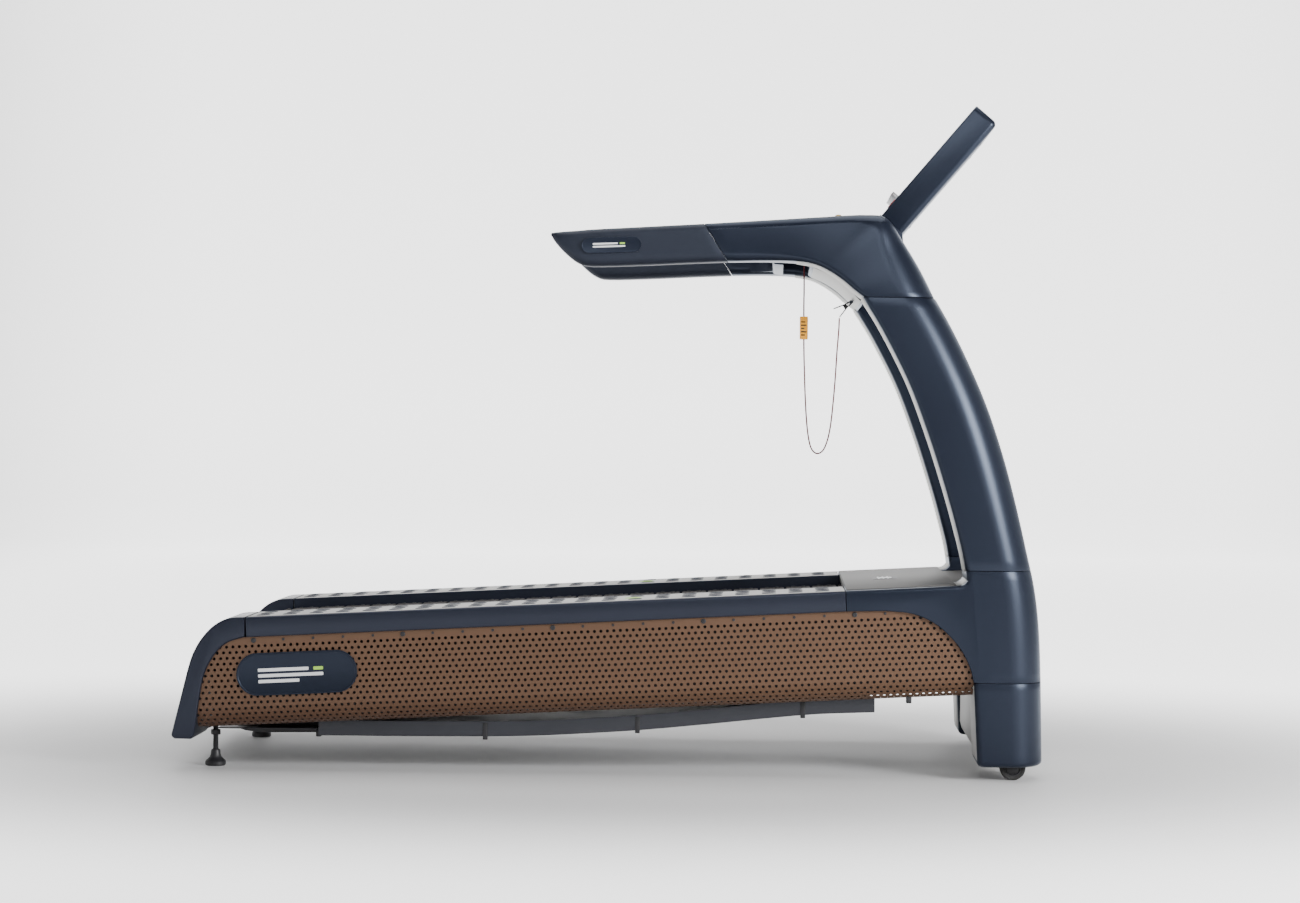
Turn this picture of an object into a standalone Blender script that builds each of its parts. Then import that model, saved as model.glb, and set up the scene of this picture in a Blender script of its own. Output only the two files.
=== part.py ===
"""Self-powered slat-belt treadmill: an inclined running deck between two foot rails, perforated side
panels, two curved uprights that turn into handrails, and a console.

Row frame: metres, +Z up, +X towards the console, origin at the middle of the footprint on the floor.
Everything on the deck is modelled in the deck's own frame (X along the deck, Z = 0 at the foot rails'
top) and hangs on the empty deck_frame, which gives it the deck's incline.
"""

import math

import bmesh
import bpy
from mathutils import Matrix, Vector
from mathutils.geometry import interpolate_bezier

# ---------------------------------------------------------------- driving dimensions (metres)
GAP = 0.0004  # air between pieces that touch

DECK_TOP_Z = 0.4316  # foot rails' top above the floor, at x = 0
DECK_INCLINE = math.radians(3.12)
HALF_WIDTH = 0.460
RAIL_INNER = 0.262  # inner side of a foot rail from the centre plane
RAIL_REAR, RAIL_FRONT = -0.888, 0.592
RAIL_HEIGHT = 0.050
RAIL_WALL = 0.003
TREAD_THICK = 0.003

PANEL_REAR, PANEL_FRONT = -0.992, 0.930
PANEL_Y = 0.4465  # middle of the sheet
PANEL_SHEET = 0.002
PANEL_BOTTOM = -0.272
PANEL_CURL = 0.055  # radius of the inward roll along the bottom edge

SLAT_PITCH = 0.070
SLAT_LENGTH = 0.066
SLAT_HALF_WIDTH = 0.248
SLAT_TOP, SLAT_UNDER = -0.025, -0.037
CARRIER_UNDER = -0.045
CLEAR = 0.0005  # air between a carrier belt and the slats, which stand on it by two feet
CARRIER_Y = (0.200, 0.235)
RUN_SLATS, WRAP_SLATS = 24, 4
PULLEY_R = 0.140 + CARRIER_UNDER  # the drum centres lie 140 mm under the rails' top
DRUM_DROP = -0.140
BELT_R = 0.099  # radius of the carrier belt's middle
BELT_LENGTH = (2 * RUN_SLATS + 2 * WRAP_SLATS) * SLAT_PITCH
DRUM_SPAN = (BELT_LENGTH - 2 * math.pi * BELT_R) / 2
REAR_DRUM_X = -0.870
FRONT_DRUM_X = REAR_DRUM_X + DRUM_SPAN
AXLE_R, BORE_R = 0.0150, 0.0160

BEAM_Y = (0.300, 0.350)  # main beams of the frame
BEAM_Z = (-0.245, -0.110)
BEAM_X = (-0.955, 0.938)
BEAM_WALL = 0.004

POST_Y = 0.363  # middle of an upright
POST_IN, POST_OUT = 0.266, 0.460
SHELL = 0.004

FOOT_X, FOOT_Y, FOOT_R = -0.9985, 0.325, 0.026
WHEEL_X, WHEEL_Y, WHEEL_R, WHEEL_W = 1.006, 0.400, 0.032, 0.024

GENERATOR_AT = (0.967, 0.325)
DRIVE_PULLEY_R, GENERATOR_PULLEY_R = 0.078, 0.026
DRIVE_Y = (0.2500, 0.2642)

CONSOLE_TILT = math.radians(49.6)
CONSOLE_HALF_WIDTH = 0.255
CONSOLE_BASE = (0.7035, 1.3735)  # middle of the slab's lower end
CONSOLE_LENGTH, CONSOLE_THICK = 0.364, 0.070

CORD_R = 0.00125
BAY_TOP = 1.3045  # ceiling of the bay under the dash

SIDES = {"right": -1, "left": 1}  # the user's right is -Y


# ---------------------------------------------------------------- scene and helpers
def clear_scene():
    for obj in list(bpy.data.objects):
        bpy.data.objects.remove(obj)


clear_scene()
PARTS = bpy.data.collections.new("slat_treadmill")
CUTTERS = bpy.data.collections.new("cutters")
for group in (PARTS, CUTTERS):
    bpy.context.scene.collection.children.link(group)


def material(name, colour, roughness, metallic=0.0):
    made = bpy.data.materials.new(name)
    made.use_nodes = True
    shader = made.node_tree.nodes["Principled BSDF"]
    shader.inputs["Base Color"].default_value = (*colour, 1.0)
    shader.inputs["Roughness"].default_value = roughness
    shader.inputs["Metallic"].default_value = metallic
    return made


NAVY = material("navy_shell", (0.035, 0.043, 0.070), 0.42)
RAIL_BLUE = material("rail_aluminium", (0.070, 0.085, 0.125), 0.38, 0.6)
COPPER = material("copper_sheet", (0.23, 0.115, 0.060), 0.45, 0.3)
PALE = material("pale_grip", (0.52, 0.51, 0.49), 0.55)
SLAT_GREY = material("slat_rubber", (0.045, 0.042, 0.045), 0.80)
STEEL = material("steel", (0.35, 0.36, 0.38), 0.35, 1.0)
BLACK = material("black_plastic", (0.012, 0.012, 0.014), 0.50)
PAN_GREY = material("pan_grey", (0.075, 0.085, 0.098), 0.55)
GLASS = material("display_glass", (0.008, 0.009, 0.012), 0.10)
SILVER = material("silver_plastic", (0.62, 0.63, 0.64), 0.35, 0.3)
COIL = material("generator_grey", (0.20, 0.20, 0.21), 0.45, 0.8)
RUBBER = material("rubber", (0.015, 0.015, 0.015), 0.85)
CORD_RED = material("cord_red", (0.30, 0.020, 0.035), 0.80)
TAG_ORANGE = material("tag_orange", (0.90, 0.42, 0.03), 0.60)
STOP_RED = material("stop_red", (0.55, 0.02, 0.02), 0.40)
START_GREEN = material("start_green", (0.05, 0.35, 0.07), 0.40)


def link(obj, finish=None, group=PARTS):
    group.objects.link(obj)
    if finish:
        obj.data.materials.append(finish)
    if group is CUTTERS:
        obj.hide_render = True
        obj.display_type = "WIRE"
    return obj


def from_bmesh(name, bm, finish, group=PARTS):
    mesh = bpy.data.meshes.new(name)
    bm.to_mesh(mesh)
    bm.free()
    mesh.shade_smooth()
    mesh.set_sharp_from_angle(angle=math.radians(35))
    return link(bpy.data.objects.new(name, mesh), finish, group)


def box(name, low, high, finish=None, bevel=0.0, group=PARTS):
    """A box between two corners, with its edges rounded by bevel."""
    bm = bmesh.new()
    bmesh.ops.create_cube(bm, size=1.0)
    size = [h - l for l, h in zip(low, high)]
    middle = [(h + l) / 2 for l, h in zip(low, high)]
    bmesh.ops.scale(bm, vec=size, verts=bm.verts)
    bmesh.ops.translate(bm, vec=middle, verts=bm.verts)
    if bevel:
        bmesh.ops.bevel(bm, geom=bm.edges[:], offset=bevel, segments=2, affect="EDGES", profile=0.5)
    return from_bmesh(name, bm, finish, group)


def to_mesh(obj):
    """A curve object made a mesh with its caps welded."""
    bpy.context.view_layer.update()
    graph = bpy.context.evaluated_depsgraph_get()
    mesh = bpy.data.meshes.new_from_object(obj.evaluated_get(graph))
    bm = bmesh.new()
    bm.from_mesh(mesh)
    bmesh.ops.remove_doubles(bm, verts=bm.verts, dist=1e-6)
    bm.to_mesh(mesh)
    bm.free()
    made = bpy.data.objects.new(obj.name + "_mesh", mesh)
    made.matrix_world = obj.matrix_world
    group, name, curve = obj.users_collection[0], obj.name, obj.data
    bpy.data.objects.remove(obj)
    bpy.data.curves.remove(curve)
    made.name = name
    group.objects.link(made)
    if group is CUTTERS:
        made.hide_render = True
        made.display_type = "WIRE"
    return made


def plate(name, outlines, y_low, y_high, finish=None, group=PARTS, bevel=0.0):
    """Outlines in the XZ plane, extruded from y_low to y_high. A second outline inside the first is a hole."""
    curve = bpy.data.curves.new(name, "CURVE")
    curve.dimensions = "2D"
    curve.fill_mode = "BOTH"
    curve.extrude = (y_high - y_low) / 2 - bevel
    curve.bevel_depth = bevel
    curve.bevel_resolution = 1
    curve.offset = -bevel
    for outline in outlines:
        spline = curve.splines.new("POLY")
        spline.points.add(len(outline) - 1)
        for point, (x, z) in zip(spline.points, outline):
            point.co = (x, z, 0.0, 1.0)
        spline.use_cyclic_u = True
    obj = link(bpy.data.objects.new(name, curve), finish, group)
    # A quarter turn about X stands the outline up: its second coordinate becomes Z, its normal -Y.
    obj.rotation_euler = (math.pi / 2, 0.0, 0.0)
    obj.location = (0.0, (y_low + y_high) / 2, 0.0)
    return to_mesh(obj)


def tube(name, points, radius, finish, sides=10):
    """A round bar along points, with filled caps."""
    curve = bpy.data.curves.new(name, "CURVE")
    curve.dimensions = "3D"
    curve.bevel_depth = radius
    curve.bevel_resolution = (sides - 4) // 2
    curve.use_fill_caps = True
    spline = curve.splines.new("POLY")
    spline.points.add(len(points) - 1)
    for point, at in zip(spline.points, points):
        point.co = (*at, 1.0)
    return link(bpy.data.objects.new(name, curve), finish)


def turned(name, profile, at, finish, steps=24):
    """A profile of (radius, y) turned about an axis along Y through at. It runs from +Y to -Y down its outer side."""
    mesh = bpy.data.meshes.new(name)
    bm = bmesh.new()
    made = [bm.verts.new((r, 0.0, y)) for r, y in profile]
    for first, second in zip(made, made[1:]):
        bm.edges.new((first, second))
    bm.to_mesh(mesh)
    bm.free()
    obj = link(bpy.data.objects.new(name, mesh), finish)
    screw = obj.modifiers.new("turn", "SCREW")
    screw.steps = screw.render_steps = steps
    screw.use_merge_vertices = True
    screw.merge_threshold = 0.00001
    screw.use_smooth_shade = True
    # The mesh's Z axis is laid along +Y.
    obj.rotation_euler = (-math.pi / 2, 0.0, 0.0)
    obj.location = at
    return obj


def cylinder_y(name, radius, y_low, y_high, at, finish=None, group=PARTS, sides=32):
    """A round bar along Y, at (x, z)."""
    bm = bmesh.new()
    bmesh.ops.create_cone(
        bm, cap_ends=True, segments=sides, radius1=radius, radius2=radius, depth=y_high - y_low
    )
    bmesh.ops.rotate(bm, matrix=Matrix.Rotation(math.pi / 2, 3, "X"), verts=bm.verts)
    bmesh.ops.translate(bm, vec=(at[0], (y_low + y_high) / 2, at[1]), verts=bm.verts)
    return from_bmesh(name, bm, finish, group)


def boolean(obj, other, operation):
    """Joins other to obj, or cuts it from obj, and applies the result to obj's mesh."""
    modifier = obj.modifiers.new(operation.lower(), "BOOLEAN")
    modifier.operation = operation
    modifier.object = other
    bpy.context.view_layer.update()
    graph = bpy.context.evaluated_depsgraph_get()
    mesh = bpy.data.meshes.new_from_object(obj.evaluated_get(graph))
    obj.modifiers.clear()
    obj.data = mesh
    bpy.data.objects.remove(other)
    return obj


def solid(obj):
    """The object with its modifiers applied."""
    bpy.context.view_layer.update()
    graph = bpy.context.evaluated_depsgraph_get()
    mesh = bpy.data.meshes.new_from_object(obj.evaluated_get(graph))
    obj.modifiers.clear()
    obj.data = mesh
    return obj


def arc(centre, radius, start, end, count):
    """Points on a circle, from start to end in degrees, both included."""
    turns = [math.radians(start + (end - start) * i / count) for i in range(count + 1)]
    return [(centre[0] + radius * math.cos(t), centre[1] + radius * math.sin(t)) for t in turns]


def smooth(points, count):
    """count + 1 points on a Catmull-Rom curve through points of any dimension, evenly in parameter."""
    knots = [Vector(p) for p in points]
    knots = [2 * knots[0] - knots[1], *knots, 2 * knots[-1] - knots[-2]]
    spans, found = len(points) - 1, []
    for i in range(count + 1):
        place = min(i * spans / count, spans - 1e-9)
        k, t = int(place), place - int(place)
        a, b, c, d = knots[k : k + 4]
        found.append(
            0.5 * (2 * b + (c - a) * t + (2 * a - 5 * b + 4 * c - d) * t**2 + (3 * b - a - 3 * c + d) * t**3)
        )
    return found


# ---------------------------------------------------------------- deck frame
DECK = bpy.data.objects.new("deck_frame", None)
PARTS.objects.link(DECK)
DECK.location = (0.0, 0.0, DECK_TOP_Z)
DECK.rotation_euler = (0.0, -DECK_INCLINE, 0.0)


def on_deck(obj):
    obj.parent = DECK
    return obj


def deck_point(x, z):
    """A point of the deck frame in the row frame, as (x, z)."""
    c, s = math.cos(DECK_INCLINE), math.sin(DECK_INCLINE)
    return (x * c - z * s, DECK_TOP_Z + x * s + z * c)


# ---------------------------------------------------------------- steel frame
def frame_beam(side, sign):
    """A box beam, open at both ends, with a plate under its rear end that holds the levelling foot."""
    low, high = sorted((sign * BEAM_Y[0], sign * BEAM_Y[1]))
    beam = box(f"frame_beam_{side}", (BEAM_X[0], low, BEAM_Z[0]), (BEAM_X[1], high, BEAM_Z[1]), STEEL)
    hollow = box(
        f"beam_hollow_{side}",
        (BEAM_X[0] - 0.01, low + BEAM_WALL, BEAM_Z[0] + BEAM_WALL),
        (BEAM_X[1] + 0.01, high - BEAM_WALL, BEAM_Z[1] - BEAM_WALL),
        group=CUTTERS,
    )
    boolean(beam, hollow, "DIFFERENCE")
    plate_low = (FOOT_X - 0.0135, low + 0.0005, BEAM_Z[0] - 0.0005)
    foot_plate = box(f"foot_plate_{side}", plate_low, (-0.900, high - 0.0005, BEAM_Z[0] + 0.009), group=CUTTERS)
    boolean(beam, foot_plate, "UNION")
    bm = bmesh.new()
    bmesh.ops.create_cone(bm, cap_ends=True, segments=20, radius1=0.0085, radius2=0.0085, depth=0.06)
    bmesh.ops.translate(bm, vec=(FOOT_X, sign * FOOT_Y, BEAM_Z[0]), verts=bm.verts)
    boolean(beam, from_bmesh(f"stem_hole_{side}", bm, None, CUTTERS), "DIFFERENCE")
    on_deck(beam)


def cross_tube(name, x, z, size):
    reach = BEAM_Y[0] - GAP
    half = size / 2
    on_deck(box(name, (x - half, -reach, z - half), (x + half, reach, z + half), STEEL, bevel=0.003))


def post_axis(height):
    """The upright's middle line in the XZ plane at a height above the floor."""
    rear, front = POST_REAR(height), POST_FRONT(height)
    return (rear + front) / 2


# ---------------------------------------------------------------- foot rails, treads, panels
def foot_rail(side, sign):
    """An extruded box rail with a rounded outer top edge."""
    low, high = sorted((sign * RAIL_INNER, sign * HALF_WIDTH))
    top = -TREAD_THICK - GAP
    rail = box(f"foot_rail_{side}", (RAIL_REAR, low, -RAIL_HEIGHT), (RAIL_FRONT, high, top), RAIL_BLUE, bevel=0.005)
    hollow = box(
        f"rail_hollow_{side}",
        (RAIL_REAR - 0.01, low + RAIL_WALL, -RAIL_HEIGHT + RAIL_WALL),
        (RAIL_FRONT + 0.01, high - RAIL_WALL, top - RAIL_WALL),
        group=CUTTERS,
    )
    on_deck(boolean(rail, hollow, "DIFFERENCE"))
    on_deck(
        box(
            f"tread_strip_{side}",
            (RAIL_REAR + 0.003, low + 0.008, -TREAD_THICK),
            (RAIL_FRONT - 0.003, high - 0.008, 0.0),
            PALE,
        )
    )


def panel_profile(offset):
    """The panel's section as (distance from the centre plane, z): straight down, then rolled inwards."""
    y = PANEL_Y + offset
    roll = PANEL_CURL + offset
    centre = (PANEL_Y - PANEL_CURL, PANEL_BOTTOM + PANEL_CURL)
    lower = arc(centre, roll, 0, -62, 6)
    return [(y, -RAIL_HEIGHT - 2 * GAP), *lower]


def side_panel(side, sign):
    """A rolled sheet: its section is swept along the deck."""
    outer, inner = panel_profile(PANEL_SHEET / 2), panel_profile(-PANEL_SHEET / 2)
    bm = bmesh.new()
    ring = [bm.verts.new((PANEL_REAR, sign * y, z)) for y, z in outer + inner[::-1]]
    face = bm.faces.new(ring)
    swept = bmesh.ops.extrude_face_region(bm, geom=[face])
    moved = [v for v in swept["geom"] if isinstance(v, bmesh.types.BMVert)]
    bmesh.ops.translate(bm, vec=(PANEL_FRONT - PANEL_REAR, 0.0, 0.0), verts=moved)
    bmesh.ops.recalc_face_normals(bm, faces=bm.faces)
    panel = on_deck(from_bmesh(f"side_panel_{side}", bm, COPPER))
    edge = [(x + 0.0006, z) for x, z in cap_inner_edge()]
    behind = [(-1.006, 0.060), *edge, (-0.880, edge[-1][1]), (-0.880, 0.45), (-1.15, 0.45), (-1.15, 0.060)]
    low, high = sorted((sign * 0.34, sign * 0.50))
    boolean(panel, plate(f"cap_trim_{side}", [behind], low, high, group=CUTTERS), "DIFFERENCE")


CAP_OUTER = [(-0.888, 0.3835), (-0.930, 0.3795), (-0.965, 0.3615), (-0.995, 0.330), (-1.017, 0.292), (-1.030, 0.252)]
CAP_INNER = [(-1.003, 0.165), (-0.990, 0.236), (-0.966, 0.285), (-0.934, 0.3175), (-0.888, 0.3335)]


def cap_inner_edge():
    return [tuple(p) for p in smooth(CAP_INNER, 8)]


def rear_cap(side, sign):
    """The bent band that ends a foot rail: along the rail, round the corner and down to a blunt toe."""
    outline = [tuple(p) for p in smooth(CAP_OUTER, 10)]
    outline += arc((-1.058, 0.091), 0.011, 170, 270, 3)
    outline += [(-1.020, 0.080), (-1.012, 0.092)]
    outline += cap_inner_edge()
    low, high = sorted((sign * (RAIL_INNER + 0.0), sign * HALF_WIDTH))
    plate(f"rear_cap_{side}", [outline], low, high, NAVY, bevel=0.004)


def rear_guard():
    """The sloping cover between the two rear caps, low behind the belt."""
    reach = RAIL_INNER - 0.001
    outline = [(-1.058, 0.090), (-1.020, 0.084), (-0.985, 0.098), (-0.985, 0.104), (-1.022, 0.092), (-1.052, 0.150),
               (-1.058, 0.150)]
    plate("rear_guard", [outline], -reach, reach, BLACK)


# ---------------------------------------------------------------- belly pan
BOW = [(-0.718, 0.082), (-0.413, 0.084), (-0.190, 0.088), (0.061, 0.104), (0.235, 0.121), (0.495, 0.149),
       (0.668, 0.158)]


def channel(name, outline, half_width, wall, finish):
    """A trough open at the top: an outline extruded across the machine, less a narrower one raised by its floor."""
    trough = plate(name, [outline], -half_width, half_width, finish)
    raised = [(x, z + (wall if z < top_of(outline, x) - 0.02 else 0.05)) for x, z in outline]
    reach = half_width - wall
    return boolean(trough, plate(name + "_inside", [raised], -reach, reach, group=CUTTERS), "DIFFERENCE")


def top_of(outline, x):
    """The highest z of an outline near x."""
    near = sorted(outline, key=lambda p: abs(p[0] - x))[:4]
    return max(z for _, z in near)


def belly_pan():
    lower = [tuple(p) for p in smooth(BOW, 18)]
    upper = [(x, z + 0.038) for x, z in reversed(lower)]
    channel("belly_pan", lower + upper, 0.362, 0.003, PAN_GREY)


def rear_belly_cover():
    lower = [(-0.936, 0.091), (-0.881, 0.080), (-0.7195, 0.082)]
    upper = [(-0.7195, 0.120), (-0.881, 0.118), (-0.936, 0.115)]
    plate("rear_belly_cover", [lower + upper], -0.290, 0.290, BLACK)


# ---------------------------------------------------------------- slat belt and drums
def slat_boxes(name, places):
    """Slats at places, each a matrix that carries the deck frame's slat at x = 0 to where it is."""
    bm = bmesh.new()
    for matrix in places:
        made = bmesh.ops.create_cube(bm, size=1.0)["verts"]
        bmesh.ops.scale(bm, vec=(SLAT_LENGTH, 2 * SLAT_HALF_WIDTH, SLAT_TOP - SLAT_UNDER), verts=made)
        bmesh.ops.translate(bm, vec=(0, 0, (SLAT_TOP + SLAT_UNDER) / 2), verts=made)
        bmesh.ops.transform(bm, matrix=matrix, verts=made)
    slats = from_bmesh(name, bm, SLAT_GREY)
    bm = bmesh.new()
    for matrix in places:
        for sign in (-1, 1):
            width, middle = CARRIER_Y[1] - CARRIER_Y[0] - 0.004, sign * (CARRIER_Y[0] + CARRIER_Y[1]) / 2
            made = bmesh.ops.create_cube(bm, size=1.0)["verts"]
            bmesh.ops.scale(bm, vec=(0.020, width, 0.005), verts=made)
            bmesh.ops.translate(bm, vec=(0, middle, SLAT_UNDER - 0.0005), verts=made)
            bmesh.ops.transform(bm, matrix=matrix, verts=made)
    return boolean(slats, from_bmesh(name + "_feet", bm, None, CUTTERS), "UNION")


def carrier_outline_straight(first, last, under, top):
    return [(first, under), (last, under), (last, top), (first, top)]


def belt_run(name, turned_over):
    """A straight run of slats on its two carrier belts. The return run is the same, upside down."""
    middle = (REAR_DRUM_X + FRONT_DRUM_X) / 2
    half = DRUM_SPAN / 2 - GAP
    places = []
    for i in range(RUN_SLATS):
        x = (i - (RUN_SLATS - 1) / 2) * SLAT_PITCH
        places.append(Matrix.Translation((x, 0, 0)))
    slats = slat_boxes(name, places)
    for sign in (-1, 1):
        low, high = sorted((sign * CARRIER_Y[0], sign * CARRIER_Y[1]))
        outline = carrier_outline_straight(-half, half, CARRIER_UNDER, SLAT_UNDER - CLEAR)
        boolean(slats, plate(f"{name}_carrier", [outline], low, high, group=CUTTERS), "UNION")
    if turned_over:
        slats.data.transform(Matrix.Translation((0, 0, 2 * DRUM_DROP)) @ Matrix.Rotation(math.pi, 4, "Y"))
    slats.data.transform(Matrix.Translation((middle, 0, 0)))
    on_deck(slats)


def belt_wrap(name, drum_x, first_turn):
    """The slats that lie round a drum, on an arc of each carrier belt. first_turn is the arc's start, from straight up."""
    step = SLAT_PITCH / BELT_R
    lead = (SLAT_PITCH * (RUN_SLATS - 1) - DRUM_SPAN) / 2 / BELT_R + step
    centre = Matrix.Translation((drum_x, 0, DRUM_DROP))
    places = []
    for i in range(WRAP_SLATS):
        turn = Matrix.Rotation(first_turn + lead + i * step, 4, "Y")
        places.append(centre @ turn @ Matrix.Translation((0, 0, -DRUM_DROP)))
    slats = slat_boxes(name, places)
    # Seen from -Y, a turn about +Y runs clockwise, so the arc's angle falls from the start.
    slack = math.degrees(0.0006 / BELT_R)
    start = 90 - math.degrees(first_turn) - slack
    outer = arc((drum_x, DRUM_DROP), SLAT_UNDER - DRUM_DROP - CLEAR, start, start - 180 + 2 * slack, 16)
    inner = arc((drum_x, DRUM_DROP), PULLEY_R + 0.0005, start - 180 + 2 * slack, start, 16)
    for sign in (-1, 1):
        low, high = sorted((sign * CARRIER_Y[0], sign * CARRIER_Y[1]))
        boolean(slats, plate(f"{name}_carrier", [outer + inner], low, high, group=CUTTERS), "UNION")
    on_deck(slats)


def drum(name, x):
    """A drum: two belt pulleys on a tube, with a bore right through for the fixed axle."""
    rim, tube_r, hub = PULLEY_R - 0.0012, 0.048, 0.030
    half = [(rim, CARRIER_Y[1] + 0.004), (rim, CARRIER_Y[0] - 0.004), (tube_r, CARRIER_Y[0] - 0.008)]
    profile = [(BORE_R, 0.2492), (hub, 0.2492), (hub, CARRIER_Y[1] + 0.008), *half]
    profile += [(r, -y) for r, y in reversed(profile)]
    profile.append(profile[0])
    on_deck(turned(name, profile, (x, 0, DRUM_DROP), STEEL))


def axle(name, x):
    reach = BEAM_Y[0] - GAP
    on_deck(cylinder_y(name, AXLE_R, -reach, reach, (x, DRUM_DROP), STEEL))


# ---------------------------------------------------------------- generator drive
FRONT_DRUM_AT = deck_point(FRONT_DRUM_X, DRUM_DROP)


def drive_pulley():
    """The ribbed pulley beside the front drum, which drives the generator."""
    low, high = DRIVE_Y
    edge = 0.002
    profile = [(BORE_R, high), (DRIVE_PULLEY_R + 0.003, high), (DRIVE_PULLEY_R + 0.003, high - edge + 0.001),
               (DRIVE_PULLEY_R, high - edge), (DRIVE_PULLEY_R, low + edge), (DRIVE_PULLEY_R + 0.003, low + edge - 0.001),
               (DRIVE_PULLEY_R + 0.003, low), (BORE_R, low), (BORE_R, high)]
    on_deck(turned("drive_pulley", profile, (FRONT_DRUM_X, 0, DRUM_DROP), STEEL))


def generator():
    """The stator housing with its cooling ribs and foot, and the rotor with flywheel and belt pulley."""
    x, z = GENERATOR_AT
    ribs = []
    top, bottom, count = 0.185, 0.010, 4
    step = (top - bottom) / count
    for i in range(count):
        y = top - i * step
        ribs += [(0.056, y), (0.056, y - 0.6 * step), (0.052, y - 0.6 * step), (0.052, y - step + 0.001)]
    profile = [(0.012, top), *ribs, (0.052, bottom), (0.012, bottom), (0.012, top)]
    stator = solid(turned("generator", profile, (x, 0, z), COIL))
    stator.data.transform(stator.matrix_world)
    stator.matrix_world = Matrix.Identity(4)
    foot = box("generator_foot", (x - 0.030, 0.030, z - 0.090), (x + 0.030, 0.165, z - 0.048), group=CUTTERS)
    boolean(stator, foot, "UNION")
    low, high = DRIVE_Y
    r, lip = GENERATOR_PULLEY_R, 0.003
    shaft = 0.010
    turned(
        "generator_rotor",
        [(0, high), (r + lip, high), (r + lip, high - 0.001), (r, high - 0.002), (r, low + 0.002),
         (r + lip, low + 0.001), (r + lip, low), (shaft, low), (shaft, 0.243), (0.054, 0.243), (0.054, 0.213),
         (shaft, 0.215), (shaft, 0.015), (0, 0.015)],
        (x, 0, z),
        STEEL,
    )


def drive_belt():
    """A flat loop round the two pulleys, a hair clear of both."""
    (x1, z1), (x2, z2) = FRONT_DRUM_AT, GENERATOR_AT
    along = math.degrees(math.atan2(z2 - z1, x2 - x1))
    reach = math.hypot(x2 - x1, z2 - z1)

    def loop(grow):
        big, small = DRIVE_PULLEY_R + grow, GENERATOR_PULLEY_R + grow
        open_by = math.degrees(math.acos((big - small) / reach))
        return arc((x1, z1), big, along + open_by, along + 360 - open_by, 24) + arc(
            (x2, z2), small, along - open_by, along + open_by, 10
        )

    plate("drive_belt", [loop(0.0030), loop(0.0006)], DRIVE_Y[0] + 0.0025, DRIVE_Y[1] - 0.0025, RUBBER)


# ---------------------------------------------------------------- uprights and handrails
def curve_x(points):
    """A function giving x at a height, along a smooth line through (x, z) points."""
    line = smooth(points, 80)

    def at(height):
        for a, b in zip(line, line[1:]):
            if min(a[1], b[1]) <= height <= max(a[1], b[1]) and a[1] != b[1]:
                share = (height - a[1]) / (b[1] - a[1])
                return a[0] + (b[0] - a[0]) * share
        return line[-1][0] if abs(height - line[-1][1]) < abs(height - line[0][1]) else line[0][0]

    return at


POST_REAR = curve_x([(0.627, 1.180), (0.676, 1.100), (0.740, 0.975), (0.788, 0.850), (0.826, 0.735), (0.858, 0.625),
                     (0.884, 0.515), (0.897, 0.380), (0.906, 0.242), (0.917, 0.030)])
POST_FRONT = curve_x([(0.797, 1.200), (0.846, 1.115), (0.894, 1.018), (0.940, 0.910), (0.980, 0.790), (1.011, 0.675),
                      (1.038, 0.560), (1.058, 0.470), (1.070, 0.370), (1.076, 0.236), (1.080, 0.030)])


def ring(rear, front, y_in, y_out, rear_r, front_r, corner_steps=4):
    """A closed section between two points of the XZ plane: a rectangle whose corners are elliptical arcs.

    rear_r and front_r are the corner lengths along the section, and its corners' half widths across it
    follow them up to half the thickness."""
    rear, front = Vector(rear), Vector(front)
    along = front - rear
    length = along.length
    along.normalize()
    thick = abs(y_out - y_in)
    found = []
    corners = [
        (length, 0, front_r, 0),  # front, inner side
        (length, thick, front_r, 90),  # front, outer side
        (0, thick, rear_r, 180),  # rear, outer side
        (0, 0, rear_r, 270),  # rear, inner side
    ]
    for u, v, r, start in corners:
        across = min(r, thick / 2 * 0.96)
        r = min(r, length / 2 * 0.98)
        cu = u - r if u else r
        cv = v - across if v else across
        for i in range(corner_steps + 1):
            t = math.radians(start - 90 + 90 * i / corner_steps)
            found.append((cu + r * math.cos(t), cv + across * math.sin(t)))
    step = 1 if y_out > y_in else -1
    return [(rear.x + along.x * u, y_in + step * v, rear.y + along.y * u) for u, v in found]


def skin(name, rows, finish, closed_loop=False, ends=True, group=PARTS):
    """Skins a list of rings of points. closed_loop joins the last ring to the first; otherwise ends caps both."""
    bm = bmesh.new()
    rows = [[bm.verts.new(p) for p in row] for row in rows]
    count = len(rows[0])
    pairs = list(zip(rows, rows[1:])) + ([(rows[-1], rows[0])] if closed_loop else [])
    for a, b in pairs:
        for i in range(count):
            j = (i + 1) % count
            bm.faces.new((a[i], a[j], b[j], b[i]))
    if ends and not closed_loop:
        bm.faces.new(rows[0][::-1])
        bm.faces.new(rows[-1])
    bmesh.ops.recalc_face_normals(bm, faces=bm.faces)
    if bm.calc_volume(signed=True) < 0:
        bmesh.ops.reverse_faces(bm, faces=bm.faces)
    return from_bmesh(name, bm, finish, group)


def inset_section(section, wall):
    """The section inside another, a wall's thickness from it."""
    rear, front, y_in, y_out, rear_r, front_r = section
    rear, front = Vector(rear), Vector(front)
    along = (front - rear).normalized() * wall
    side = math.copysign(wall, y_out - y_in)
    corner = max(rear_r - wall, 0.002)
    return (rear + along, front - along, y_in + side, y_out - side, corner, front_r - wall)


def sleeve(name, sections, finish, floor=None):
    """A wall of SHELL thickness through sections, open at both ends, or closed at the last one by a floor."""
    outer = [ring(*section) for section in sections]
    inner = [ring(*inset_section(section, SHELL)) for section in sections if floor is None or section[0][1] > floor]
    if floor is None:
        return skin(name, outer + inner[::-1], finish, closed_loop=True)
    return skin(name, outer[::-1] + inner, finish)


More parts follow.
